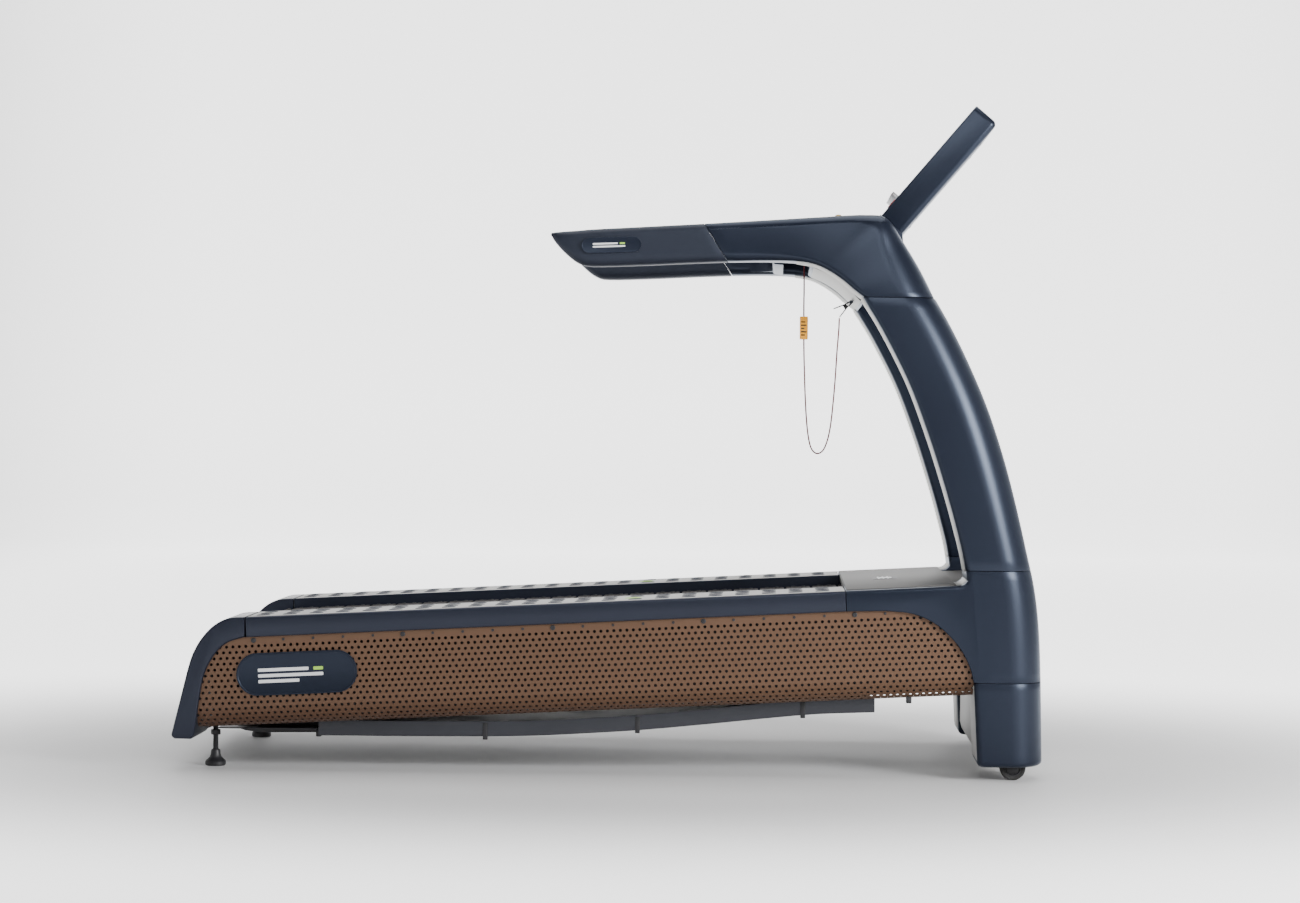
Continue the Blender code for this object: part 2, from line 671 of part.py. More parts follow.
def post_section(height, sign, inset=0.0):
    return (
        (POST_REAR(height) + inset, height),
        (POST_FRONT(height) - inset, height),
        sign * (POST_IN + inset),
        sign * (POST_OUT - inset),
        0.014,
        0.088,
    )


def post_shell(name, top, bottom, count, sign):
    heights = [top + (bottom - top) * i / count for i in range(count + 1)]
    return sleeve(name, [post_section(h, sign) for h in heights], NAVY)


def rear_opening(shell, side, sign, low_z, high_z):
    """The opening in a shell's rear wall through which the beam and the panel's end come in."""
    low, high = sorted((sign * (POST_IN + 0.012), sign * 0.4496))
    cutter = box(f"rear_opening_{side}", (0.870, low, low_z), (0.930, high, high_z), group=CUTTERS)
    return boolean(shell, cutter, "DIFFERENCE")


SHROUD_TOP, SHROUD_FOOT = 0.5160, 0.2420
COLUMN_TOP = 1.1830


def column(side, sign):
    """The upright's middle shell, from the shroud to the elbow. Its top seam is level."""
    post_shell(f"column_{side}", COLUMN_TOP - GAP, SHROUD_TOP + GAP, 8, sign)


def front_shroud(side, sign):
    """The shell where rail and upright meet: a sleeve round the upright, a bar on to the rail and a web with an arch."""
    shell = post_shell(f"front_shroud_{side}", SHROUD_TOP, SHROUD_FOOT, 6, sign)
    rear_opening(shell, side, sign, 0.220, 0.431)
    low, high = sorted((sign * POST_IN, sign * POST_OUT))
    start, end = RAIL_FRONT + 0.0008, 0.892
    top, under = 0.0, -RAIL_HEIGHT
    corner = [deck_point(start, under), deck_point(end, under), deck_point(end + 0.002, 0.004)]
    fillet = arc((deck_point(end - 0.024, 0.0)[0], deck_point(end, 0.0)[1] + 0.024), 0.024, 0, -86, 4)
    bar = plate(f"bar_{side}", [corner[:2] + [(fillet[0][0] + 0.003, fillet[0][1])] + fillet
                                + [deck_point(start, top)]], low, high, group=CUTTERS)
    boolean(shell, bar, "UNION")
    arch = smooth([(0.690, 0.4165), (0.755, 0.410), (0.807, 0.388), (0.846, 0.356), (0.877, 0.318), (0.897, 0.276),
                   (0.905, 0.2435)], 12)
    web = [tuple(p) for p in arch] + [(0.914, 0.2435), (0.905, 0.440), (0.690, 0.440)]
    low, high = sorted((sign * 0.4505, sign * (POST_OUT - 0.0006)))
    boolean(shell, plate(f"web_{side}", [web], low, high, group=CUTTERS), "UNION")


def boot(side, sign):
    """The shell round the upright's foot, with a slot in its floor for the transport wheel."""
    top, floor, edge = SHROUD_FOOT - GAP, 0.036, 0.012
    sections = [post_section(h, sign) for h in (top, 0.170, 0.110, floor + edge)]
    for i in (1, 2, 3):
        turn = math.radians(30 * i)
        inset, height = edge * (1 - math.cos(turn)), floor + edge * (1 - math.sin(turn))
        sections.append(post_section(height, sign, inset))
    shell = sleeve(f"boot_{side}", sections, NAVY, floor=floor + SHELL)
    rear_opening(shell, side, sign, 0.204, 0.300)
    slot = box(
        f"wheel_slot_{side}",
        (WHEEL_X - 0.042, sign * WHEEL_Y - 0.021, 0.0),
        (WHEEL_X + 0.042, sign * WHEEL_Y + 0.021, 0.060),
        group=CUTTERS,
    )
    boolean(shell, slot, "DIFFERENCE")


# Stations of the elbow and the arm: lower edge, upper edge, inner and outer y, lower and upper corner.
ELBOW = [
    ((0.6275, 1.1838), (0.8045, 1.1838), 0.266, 0.460, 0.014, 0.088),
    ((0.6050, 1.2010), (0.7700, 1.2520), 0.266, 0.458, 0.014, 0.084),
    ((0.5770, 1.2250), (0.7260, 1.3230), 0.266, 0.452, 0.014, 0.070),
    ((0.5460, 1.2460), (0.6860, 1.3780), 0.268, 0.445, 0.014, 0.048),
    ((0.5100, 1.2630), (0.6350, 1.3870), 0.274, 0.436, 0.016, 0.034),
    ((0.4650, 1.2710), (0.5350, 1.3820), 0.284, 0.426, 0.018, 0.026),
    ((0.3900, 1.2730), (0.3850, 1.3730), 0.296, 0.413, 0.022, 0.022),
    ((0.2940, 1.2710), (0.2360, 1.3640), 0.302, 0.404, 0.026, 0.020),
]
ARM = [
    ((0.2932, 1.2710), (0.2352, 1.3640), 0.302, 0.404, 0.026, 0.020),
    ((0.2000, 1.2670), (0.1600, 1.3600), 0.303, 0.402, 0.028, 0.020),
    ((0.0800, 1.2610), (0.0600, 1.3545), 0.304, 0.400, 0.030, 0.020),
    ((-0.0400, 1.2575), (-0.0400, 1.3490), 0.305, 0.398, 0.030, 0.020),
    ((-0.0760, 1.2650), (-0.0740, 1.3460), 0.306, 0.397, 0.028, 0.020),
    ((-0.1050, 1.2860), (-0.1020, 1.3440), 0.309, 0.394, 0.022, 0.018),
    ((-0.1290, 1.3110), (-0.1260, 1.3420), 0.316, 0.388, 0.012, 0.012),
    ((-0.1450, 1.3330), (-0.1440, 1.3400), 0.330, 0.374, 0.003, 0.003),
]


def stations(table, count, sign):
    """Sections along a smooth run through a table of stations."""
    flat = [(*low, *high, *rest) for low, high, *rest in table]
    columns = [smooth([(value, 0.0) for value in column], count) for column in zip(*flat)]
    rows = [[column[i][0] for column in columns] for i in range(count + 1)]
    return [((r[0], r[1]), (r[2], r[3]), sign * r[4], sign * r[5], r[6], r[7]) for r in rows]


def elbow(side, sign):
    sleeve(f"elbow_{side}", stations(ELBOW, 10, sign), NAVY)


def arm_grip(side, sign):
    rings = [ring(*section) for section in stations(ARM, 10, sign)]
    skin(f"arm_grip_{side}", rings, NAVY)


def upright_tube(side, sign):
    """The steel tube inside the shells, from the foot plate over the wheel to the elbow."""
    heights = [0.0800, 0.20, 0.35, 0.50, 0.65, 0.80, 0.95, 1.08, 1.17]
    points = [(post_axis(h) - 0.012, sign * POST_Y, h) for h in heights]
    points += [(0.690, sign * (POST_Y - 0.004), 1.235), (0.640, sign * (POST_Y - 0.006), 1.290)]
    line = smooth(points, 22)
    tube(f"upright_tube_{side}", line, 0.026, STEEL, sides=12)


# ---------------------------------------------------------------- front housing
def front_hood():
    """The flat cover between the uprights that continues the rails' top and rolls down in front."""
    reach = POST_IN - 0.0008
    crown = deck_point(0.968, -0.002)
    centre = (crown[0], crown[1] - 0.070)
    outer = [deck_point(RAIL_FRONT + 0.001, -0.002), *arc(centre, 0.070, 90, 8, 6)]
    sheet = 0.003
    inner_nose = arc(centre, 0.070 - sheet, 8, 90, 6)
    inner = inner_nose + [
        deck_point(RAIL_FRONT + 0.001 + sheet, -0.002 - sheet),
        deck_point(RAIL_FRONT + 0.001 + sheet, -0.017),
        deck_point(RAIL_FRONT + 0.001, -0.017),
    ]
    plate("front_hood", [outer + inner], -reach, reach, PALE)
    return centre


def nose_cover(hood_centre):
    """The housing under the hood: a front wall, a floor and the rear wall between the boots, open on top."""
    reach = POST_IN - 0.0008
    sheet = 0.003
    front_x, top = hood_centre[0] + 0.0695, hood_centre[1] + 0.006
    outer = [(0.919, 0.215), (0.919, 0.075), (0.935, 0.042), (1.020, 0.042), *arc((1.030, 0.072), 0.030, -60, 0, 3),
             (front_x + 0.002, 0.180), (front_x, top)]
    inner = [(front_x - sheet, top), (front_x + 0.002 - sheet, 0.180), *arc((1.030, 0.072), 0.030 - sheet, 0, -60, 3),
             (1.020, 0.042 + sheet), (0.937, 0.042 + sheet), (0.919 + sheet, 0.076), (0.919 + sheet, 0.215)]
    plate("nose_cover", [outer + inner], -reach, reach, PALE)


# ---------------------------------------------------------------- dash and console
def console_point(along, across):
    """A point of the console's side view: along the slab from its lower end, and towards the user."""
    c, s = math.cos(CONSOLE_TILT), math.sin(CONSOLE_TILT)
    return (CONSOLE_BASE[0] + along * c - across * s, CONSOLE_BASE[1] + along * s + across * c)


def dash():
    """The cross piece between the elbows. Its underside follows their arch, behind a bay for the magnet key."""
    reach = 0.2645
    half = CONSOLE_THICK / 2
    foot_rear, foot_front = console_point(-0.001, half + 0.004), console_point(-0.001, -half)
    under = smooth([(0.6330, 1.1745), (0.6080, 1.1990), (0.5770, 1.2270), (0.5430, 1.2490), (0.5080, 1.2640)], 8)
    bay = [(0.5080, 1.2640), (0.4995, 1.2700), (0.4995, BAY_TOP), (0.4320, BAY_TOP), (0.4320, 1.2700)]
    outline = [*bay, (0.4100, 1.2715), (0.4045, 1.2790), (0.4045, 1.3560), (0.4160, 1.3680), (0.6500, 1.3870), foot_rear,
               foot_front, (0.7350, 1.3000), (0.7200, 1.2300), (0.6600, 1.1980), (0.6350, 1.1765)]
    outline += [tuple(p) for p in under[:-1]]
    cross = plate("dash", [outline], -reach, reach, NAVY, bevel=0.0008)
    boolean(cross, plate("clip_tab", [clip_tab()], -0.020, 0.020, group=CUTTERS), "UNION")


def console():
    """The slab: a housing with a sunk glass, a ledge for a tablet, and the start and stop buttons."""
    half = CONSOLE_THICK / 2
    turn = Matrix.Rotation(-CONSOLE_TILT, 4, "Y")
    # Local frame of the slab: X up along it, Z towards the user.
    place = Matrix.Translation((CONSOLE_BASE[0], 0.0, CONSOLE_BASE[1])) @ turn

    def put(obj):
        obj.data.transform(place)
        return obj

    outline = [(0.0, -half), (CONSOLE_LENGTH - 0.022, -half), *arc((CONSOLE_LENGTH - 0.022, -half + 0.022), 0.022, -75, 0, 4),
               (CONSOLE_LENGTH, half - 0.003), (CONSOLE_LENGTH - 0.003, half), (0.0, half)]
    housing = plate("console_housing", [outline], -CONSOLE_HALF_WIDTH, CONSOLE_HALF_WIDTH, NAVY, bevel=0.0)
    housing.data.transform(housing.matrix_world)
    housing.matrix_world = Matrix.Identity(4)
    recess = box("glass_recess", (0.075, -0.235, half - 0.003), (CONSOLE_LENGTH - 0.012, 0.235, half + 0.01), group=CUTTERS)
    boolean(housing, recess, "DIFFERENCE")
    for y in BUTTON_Y:
        hole = box("button_well", (0.030, y - 0.017, half - 0.006), (0.058, y + 0.017, half + 0.01), group=CUTTERS)
        boolean(housing, hole, "DIFFERENCE")
    put(housing)
    glass = box("display_glass", (0.0755, -0.2345, half - 0.0026), (CONSOLE_LENGTH - 0.0125, 0.2345, half - 0.0002), GLASS)
    put(glass)
    ledge = box("tablet_ledge", (0.0635, -0.150, half + 0.0004), (0.0735, 0.150, half + 0.019), SILVER)
    fin = box("ledge_fin", (0.0435, -0.150, half + 0.0004), (0.0645, 0.150, half + 0.004), group=CUTTERS)
    boolean(ledge, fin, "UNION")
    put(ledge)
    for name, y, finish in (("stop_button", BUTTON_Y[0], STOP_RED), ("start_button", BUTTON_Y[1], START_GREEN)):
        cap = box(name, (0.031, y - 0.016, half - 0.003), (0.057, y + 0.016, half + 0.003), finish, bevel=0.001)
        put(cap)


BUTTON_Y = (-0.185, 0.185)


# ---------------------------------------------------------------- wheels and feet
def transport_wheel(side, sign):
    y = sign * WHEEL_Y
    half = WHEEL_W / 2
    bore, rim = 0.0056, WHEEL_R
    profile = [(bore, half), (0.018, half), (0.020, half - 0.003), (rim - 0.006, half - 0.003), (rim - 0.003, half),
               (rim, half - 0.004)]
    profile += [(r, -v) for r, v in reversed(profile)]
    profile.append(profile[0])
    turned(f"front_wheel_{side}", profile, (WHEEL_X, y, WHEEL_R), RUBBER, steps=24)


def wheel_fork(side, sign):
    """Two cheeks, the axle between them and the plate that bolts under the upright."""
    y, thick, inside = sign * WHEEL_Y, 0.003, WHEEL_W / 2 + 0.0015
    fork = box(
        f"wheel_fork_{side}", (WHEEL_X - 0.030, y - inside - thick, 0.0745), (WHEEL_X + 0.030, y + inside + thick, 0.0785), STEEL
    )
    for low, high in ((y - inside - thick, y - inside), (y + inside, y + inside + thick)):
        cheek = box("cheek", (WHEEL_X - 0.013, low, 0.022), (WHEEL_X + 0.013, high, 0.076), group=CUTTERS)
        boolean(fork, cheek, "UNION")
    pin = cylinder_y("pin", 0.0050, y - inside - thick - 0.002, y + inside + thick + 0.002, (WHEEL_X, WHEEL_R), group=CUTTERS, sides=16)
    boolean(fork, pin, "UNION")


def levelling_foot(side, sign):
    """A swivel pad on a threaded stem with a lock nut, turned about a vertical axis."""
    stem, pad = 0.0070, FOOT_R
    profile = [(0, 0.172), (stem, 0.172), (stem, 0.092), (0.0125, 0.090), (0.0125, 0.079), (stem, 0.077), (stem, 0.042),
               (0.011, 0.040), (0.013, 0.026), (pad - 0.004, 0.016), (pad, 0.011), (pad, 0.003), (pad - 0.002, 0.0), (0, 0.0)]
    x, z = deck_point(FOOT_X, BEAM_Z[0])
    foot = turned(f"levelling_foot_{side}", profile, (x, sign * FOOT_Y, 0.0), BLACK, steps=16)
    foot.rotation_euler = (0.0, 0.0, 0.0)


# ---------------------------------------------------------------- safety lanyard
# The route's own points as (x, z), in the plane y = 0: down from the key, past the tag, round the bight, up to the clip.
CORD_ROUTE = [(0.4865, 1.2897), (0.4866, 1.266), (0.4870, 1.225), (0.4868, 1.175), (0.4872, 1.120), (0.4880, 1.060),
              (0.4900, 1.000), (0.4925, 0.940), (0.4960, 0.885), (0.5010, 0.840), (0.5090, 0.808), (0.5230, 0.794),
              (0.5390, 0.801), (0.5510, 0.828), (0.5590, 0.868), (0.5650, 0.925), (0.5700, 0.990), (0.5740, 1.060),
              (0.5780, 1.115), (0.5792, 1.1462)]


def safety_cord():
    line = smooth(CORD_ROUTE, 76)
    tube("safety_cord", [(x, 0.0, z) for x, z in line], CORD_R, CORD_RED, sides=8)


def clip_point(along, across):
    """A point of the clip's side view: along its jaws from the bite, and towards the lever's side."""
    u, n = Vector((0.797, 0.604)), Vector((-0.604, 0.797))
    return tuple(Vector(CLIP_BITE) + u * along + n * across)


def clip_outline(points, side):
    return [clip_point(along, side * across) for along, across in points]


CLIP_BITE = (0.6098, 1.1885)
CLIP_PIVOT = (-0.019, 0.0)
JAW = [(0.0040, 0.0019), (0.0040, 0.0042), (-0.0160, 0.0060), (-0.0470, 0.0145), (-0.0485, 0.0122), (-0.0200, 0.0038),
       (-0.0070, 0.0019)]


def clip_tab():
    """The short rib on the dash's underside that the clip bites."""
    return [clip_point(u, n) for u, n in ((-0.0060, -0.0015), (0.0200, -0.0015), (0.0200, 0.0015), (-0.0060, 0.0015))]


def lanyard_pieces():
    """The tag beside the cord, the clip that bites the dash's tab, and the magnet key up in the dash's bay."""
    box("cord_tag", (0.4760, -0.0040, 1.090), (0.4980, -0.0018, 1.150), TAG_ORANGE, bevel=0.0006)
    box("magnet_key", (0.4740, -0.014, BAY_TOP - 0.0145), (0.4988, 0.014, BAY_TOP - 0.0005), STOP_RED, bevel=0.003)
    pivot = clip_point(*CLIP_PIVOT)
    body = plate("clip_body", [clip_outline(JAW, -1)], -0.0075, 0.0075, BLACK)
    ear = [(-0.0245, -0.0065), (-0.0135, -0.0043), (-0.0145, 0.0030), (-0.0235, 0.0030)]
    for low, high in ((-0.0073, -0.0045), (0.0045, 0.0073)):
        boolean(body, plate("clip_ear", [clip_outline(ear, 1)], low, high, group=CUTTERS), "UNION")
    boolean(body, cylinder_y("clip_pin", 0.0018, -0.0070, 0.0070, pivot, group=CUTTERS, sides=12), "UNION")
    eye = arc(pivot, 0.0021, 0, 345, 11)
    lug = [(-0.0235, 0.0058), (-0.0225, -0.0026), (-0.0155, -0.0026), (-0.0145, 0.0043)]
    lever = plate("clip_lever", [clip_outline(JAW, 1)], -0.0041, 0.0041, BLACK)
    boolean(lever, plate("clip_lug", [clip_outline(lug, 1), eye], -0.0041, 0.0041, group=CUTTERS), "UNION")


# ---------------------------------------------------------------- badges
def side_badge(side, sign):
    """A pill-shaped plate on the perforated panel."""
    length, height = 0.300, 0.106
    r = height / 2
    x, z = -0.768, -0.1435
    outline = arc((x + length / 2 - r, z), r, -90, 90, 10) + arc((x - length / 2 + r, z), r, 90, 270, 10)
    low, high = sorted((sign * (PANEL_Y + 0.0014), sign * (PANEL_Y + 0.0064)))
    on_deck(plate(f"side_badge_{side}", [outline], low, high, NAVY))


def build():
    for side, sign in SIDES.items():
        frame_beam(side, sign)
        foot_rail(side, sign)
        side_panel(side, sign)
        rear_cap(side, sign)
        front_shroud(side, sign)
        boot(side, sign)
        column(side, sign)
        elbow(side, sign)
        arm_grip(side, sign)
        upright_tube(side, sign)
        transport_wheel(side, sign)
        wheel_fork(side, sign)
        levelling_foot(side, sign)
        side_badge(side, sign)
    cross_tube("cross_tube_rear", -0.700, -0.140, 0.050)
    cross_tube("cross_tube_front", 0.560, -0.140, 0.050)
    rear_guard()
    belly_pan()
    rear_belly_cover()
    belt_run("slats_top", False)
    belt_run("slats_return", True)
    belt_wrap("slats_front", FRONT_DRUM_X, 0.0)
    belt_wrap("slats_rear", REAR_DRUM_X, math.pi)
    drum("front_drum", FRONT_DRUM_X)
    drum("rear_drum", REAR_DRUM_X)
    axle("front_axle", FRONT_DRUM_X)
    axle("rear_axle", REAR_DRUM_X)
    drive_pulley()
    generator()
    drive_belt()
    nose_cover(front_hood())
    dash()
    console()
    safety_cord()
    lanyard_pieces()


build()
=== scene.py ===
# %% [markdown]
# # Self-powered slat-belt treadmill
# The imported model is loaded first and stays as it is: it gives every place and every moving body.
# Each visible piece is then modelled round it in metres, in the same frame: +X towards the console,
# +Y towards the runner's left, +Z up.

# %% Load the frame
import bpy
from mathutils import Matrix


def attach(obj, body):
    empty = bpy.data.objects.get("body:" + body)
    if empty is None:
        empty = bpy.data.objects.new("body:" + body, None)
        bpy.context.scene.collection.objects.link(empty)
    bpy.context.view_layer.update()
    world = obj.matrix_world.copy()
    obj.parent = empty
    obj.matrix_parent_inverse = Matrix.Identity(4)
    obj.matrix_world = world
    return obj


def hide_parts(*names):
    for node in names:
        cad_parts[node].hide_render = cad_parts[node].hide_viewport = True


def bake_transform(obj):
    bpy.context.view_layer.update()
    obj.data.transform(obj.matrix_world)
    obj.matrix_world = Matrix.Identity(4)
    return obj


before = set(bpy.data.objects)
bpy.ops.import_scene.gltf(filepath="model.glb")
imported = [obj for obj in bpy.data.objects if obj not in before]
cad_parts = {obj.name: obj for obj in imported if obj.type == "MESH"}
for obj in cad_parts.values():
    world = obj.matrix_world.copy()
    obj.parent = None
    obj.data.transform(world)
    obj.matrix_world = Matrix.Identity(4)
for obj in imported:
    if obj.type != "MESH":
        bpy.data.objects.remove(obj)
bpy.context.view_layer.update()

import math
from contextlib import contextmanager

import bmesh
import bpy
from mathutils import Matrix, Vector

# %% [markdown]
# The deck leans back by about three degrees. Everything on it is modelled level, with X along the deck
# and Z = 0 at the foot rails' top, and is then leaned with one matrix. Sizes that several pieces share
# are named here once.

# %% Shared sizes
INCLINE = math.radians(3.12)
DECK = Matrix.Translation((0.0, 0.0, 0.4316)) @ Matrix.Rotation(-INCLINE, 4, "Y")
HALF_WIDTH = 0.460
RAIL_INNER = 0.262
RAIL_REAR, RAIL_FRONT = -0.888, 0.592
RAIL_HEIGHT = 0.050
PANEL_Y = 0.4465
SIDES = (("right", -1), ("left", 1))
PITCH = 0.070  # one slat
DRUM_DROP = -0.140
BELT_R = 0.099
REAR_DRUM_X = -0.870
FRONT_DRUM_X = REAR_DRUM_X + (56 * PITCH - 2 * math.pi * BELT_R) / 2


def deck_point(x, z):
    """A point of the leaning deck's side view, as (x, z) in the row frame."""
    moved = DECK @ Vector((x, 0.0, z))
    return moved.x, moved.z


print("front drum", deck_point(FRONT_DRUM_X, DRUM_DROP))

# %% [markdown]
# Modelling by hand in Blender is: add a primitive, go into edit mode, select some of it, and use an
# operator. These helpers do the same from a script. Nothing stays selected between steps, and every
# selection is made by place.

# %% Modelling helpers


def alone(obj):
    """Leaves obj as the only selected object."""
    if bpy.context.mode != "OBJECT":
        bpy.ops.object.mode_set(mode="OBJECT")
    bpy.ops.object.select_all(action="DESELECT")
    obj.select_set(True)
    bpy.context.view_layer.objects.active = obj
    return obj


def primitive(name, kind, **settings):
    """Adds a primitive mesh as an object of its own."""
    if bpy.context.mode != "OBJECT":
        bpy.ops.object.mode_set(mode="OBJECT")
    bpy.ops.object.select_all(action="DESELECT")
    getattr(bpy.ops.mesh, f"primitive_{kind}_add")(**settings)
    obj = bpy.context.object
    obj.name = obj.data.name = name
    return obj


@contextmanager
def editing(obj, mode="VERT"):
    """Edit mode with nothing selected."""
    alone(obj)
    bpy.ops.object.mode_set(mode="EDIT")
    bpy.ops.mesh.select_mode(type=mode)
    bpy.ops.mesh.select_all(action="DESELECT")
    yield obj.data
    bpy.ops.object.mode_set(mode="OBJECT")


def pick(mesh, kind, test):
    """Selects the verts, edges or faces whose middle passes the test. Returns how many."""
    bm = bmesh.from_edit_mesh(mesh)
    for face in bm.faces:
        face.select_set(False)
    for edge in bm.edges:
        edge.select_set(False)
    for vert in bm.verts:
        vert.select_set(False)
    found = 0
    for item in getattr(bm, kind):
        if kind == "verts":
            chosen = test(item.co)
        elif kind == "edges":
            chosen = test(*[v.co for v in item.verts])
        else:
            chosen = test(item.calc_center_median(), item.normal)
        if chosen:
            item.select_set(True)
            found += 1
    bm.select_flush_mode()
    bmesh.update_edit_mesh(mesh)
    return found


def modify(obj, kind, **settings):
    """Adds a modifier and applies it."""
    alone(obj)
    modifier = obj.modifiers.new(kind.lower(), kind)
    for name, value in settings.items():
        setattr(modifier, name, value)
    bpy.ops.object.modifier_apply(modifier=modifier.name)
    return obj


def settle(obj, matrix=None, angle=35):
    """Puts the object's place into its mesh, and shades it smooth up to an edge angle in degrees."""
    alone(obj)
    if matrix is not None:
        obj.matrix_world = matrix @ obj.matrix_world
    bpy.ops.object.transform_apply(location=True, rotation=True, scale=True)
    bpy.ops.object.shade_smooth_by_angle(angle=math.radians(angle))
    return obj


def outward(obj):
    """Merges doubles and turns every face outwards."""
    with editing(obj):
        bpy.ops.mesh.select_all(action="SELECT")
        bpy.ops.mesh.remove_doubles(threshold=1e-5)
        bpy.ops.mesh.normals_make_consistent(inside=False)
    return obj


def copy_of(obj, name, matrix=None):
    """A copy with its own mesh."""
    made = obj.copy()
    made.data = obj.data.copy()
    made.name = made.data.name = name
    bpy.context.scene.collection.objects.link(made)
    if matrix is not None:
        made.data.transform(matrix)
    return made


MIRROR_Y = Matrix.Diagonal((1, -1, 1, 1))


def mirrored(obj, name):
    """The same piece for the other side of the machine."""
    made = copy_of(obj, name, MIRROR_Y)
    with editing(made):
        bpy.ops.mesh.select_all(action="SELECT")
        bpy.ops.mesh.flip_normals()
    return made


def join(name, objects):
    """Joins pieces of one solid kind into one object."""
    alone(objects[0])
    for obj in objects:
        obj.select_set(True)
    bpy.ops.object.join()
    objects[0].name = objects[0].data.name = name
    return objects[0]


def cut(obj, cutter, operation="DIFFERENCE"):
    """Cuts with another closed mesh, or joins it on, and takes the cutter away."""
    modify(obj, "BOOLEAN", operation=operation, object=cutter, solver="EXACT")
    bpy.data.objects.remove(cutter)
    return obj


def block(name, low, high, bevel=0.0, segments=3, chosen=None):
    """A cube drawn out to two corners, with its edges, or the chosen ones, rounded."""
    low, high = Vector(low), Vector(high)
    obj = primitive(name, "cube", size=1.0, location=(low + high) / 2)
    obj.scale = high - low
    alone(obj)
    bpy.ops.object.transform_apply(location=True, rotation=True, scale=True)
    if bevel:
        with editing(obj, "EDGE") as mesh:
            pick(mesh, "edges", chosen or (lambda a, b: True))
            bpy.ops.mesh.bevel(offset=bevel, segments=segments, profile=0.5, affect="EDGES", clamp_overlap=True)
    return obj


def standing(a, b):
    """Whether an edge of a block stands up along Z."""
    return abs(a.z - b.z) > 1e-5


def profile(name, outline, y_low, y_high):
    """A closed outline in the XZ plane, drawn point by point by extruding a vertex, filled and pulled along Y."""
    x, z = outline[0]
    obj = primitive(name, "plane", size=0.001, location=(x, y_low, z))
    alone(obj)
    bpy.ops.object.transform_apply(location=True, rotation=True, scale=True)
    with editing(obj):
        bpy.ops.mesh.select_all(action="SELECT")
        bpy.ops.mesh.merge(type="CENTER")
        for (x0, z0), (x1, z1) in zip(outline, outline[1:]):
            bpy.ops.mesh.extrude_vertices_move(TRANSFORM_OT_translate={"value": (x1 - x0, 0.0, z1 - z0)})
        bpy.ops.mesh.select_all(action="SELECT")
        bpy.ops.mesh.edge_face_add()
        bpy.ops.mesh.extrude_region_move(TRANSFORM_OT_translate={"value": (0.0, y_high - y_low, 0.0)})
    return outward(obj)


def curved(points, count):
    """count + 1 points on a smooth line through the given ones."""
    knots = [Vector(p) for p in points]
    knots = [2 * knots[0] - knots[1], *knots, 2 * knots[-1] - knots[-2]]
    found = []
    for i in range(count + 1):
        place = min(i * (len(points) - 1) / count, len(points) - 1 - 1e-9)
        k, t = int(place), place - int(place)
        a, b, c, d = knots[k : k + 4]
        found.append(0.5 * (2 * b + (c - a) * t + (2 * a - 5 * b + 4 * c - d) * t**2 + (3 * b - a - 3 * c + d) * t**3))
    return found


def side_curve(points, count):
    """The same for places given as (x, z) in the side view."""
    return [(p.x, p.z) for p in curved([(x, 0, z) for x, z in points], count)]


def round_off(obj, width, segments=2, angle=40):
    """A small bevel on every sharp edge, as any moulded or folded piece has."""
    return modify(obj, "BEVEL", width=width, segments=segments, limit_method="ANGLE",
                  angle_limit=math.radians(angle),
                  harden_normals=False, use_clamp_overlap=True)


# %% [markdown]
# Materials are small node trees. Writing a tree link by link hides what it does, so one class wraps a
# socket and lets Python's own operators build the maths: `1 - mask * 0.4` adds its Math nodes.
# One function takes any other node's type, settings and inputs.

# %% A little language for shaders


class Socket:
    """A value in a node tree that Python's operators work on."""

    def __init__(self, tree, socket):
        self.tree, self.socket = tree, socket

    def math(self, operation, first, second=None):
        inputs = {0: first} if second is None else {0: first, 1: second}
        return node(self.tree, "ShaderNodeMath", {"operation": operation}, inputs)

    def one(self, operation):
        """An operation on this value alone."""
        return self.math(operation, self)

    def __add__(self, other):
        return self.math("ADD", self, other)

    def __radd__(self, other):
        return self.math("ADD", other, self)

    def __sub__(self, other):
        return self.math("SUBTRACT", self, other)

    def __rsub__(self, other):
        return self.math("SUBTRACT", other, self)

    def __mul__(self, other):
        return self.math("MULTIPLY", self, other)

    def __rmul__(self, other):
        return self.math("MULTIPLY", other, self)

    def __lt__(self, other):
        return self.math("LESS_THAN", self, other)

    def __gt__(self, other):
        return self.math("GREATER_THAN", self, other)

    def clamp(self):
        return node(self.tree, "ShaderNodeClamp", {}, {0: self})

    def ramp(self, low, high):
        """0 below low, 1 above high and smooth between."""
        settings = {"interpolation_type": "SMOOTHSTEP"}
        return node(self.tree, "ShaderNodeMapRange", settings,
                    {"Value": self, "From Min": low, "From Max": high})


def node(tree, kind, settings, inputs, output=0):
    """Adds a node, sets it up, and links or fills its inputs. Returns one of its outputs."""
    made = tree.nodes.new(kind)
    for name, value in settings.items():
        setattr(made, name, value)
    for name, value in inputs.items():
        target = made.inputs[name]
        if isinstance(value, Socket):
            tree.links.new(value.socket, target)
        else:
            target.default_value = value
    return Socket(tree, made.outputs[output])


def mix(tree, factor, first, second):
    """A mix of two colours."""
    settings = {"data_type": "RGBA", "clamp_factor": True}
    made = tree.nodes.new("ShaderNodeMix")
    for name, value in settings.items():
        setattr(made, name, value)
    for place, value in ((0, factor), (6, first), (7, second)):
        if isinstance(value, Socket):
            tree.links.new(value.socket, made.inputs[place])
        else:
            made.inputs[place].default_value = value if place == 0 else (*value[:3], 1.0)
    return Socket(tree, made.outputs[2])


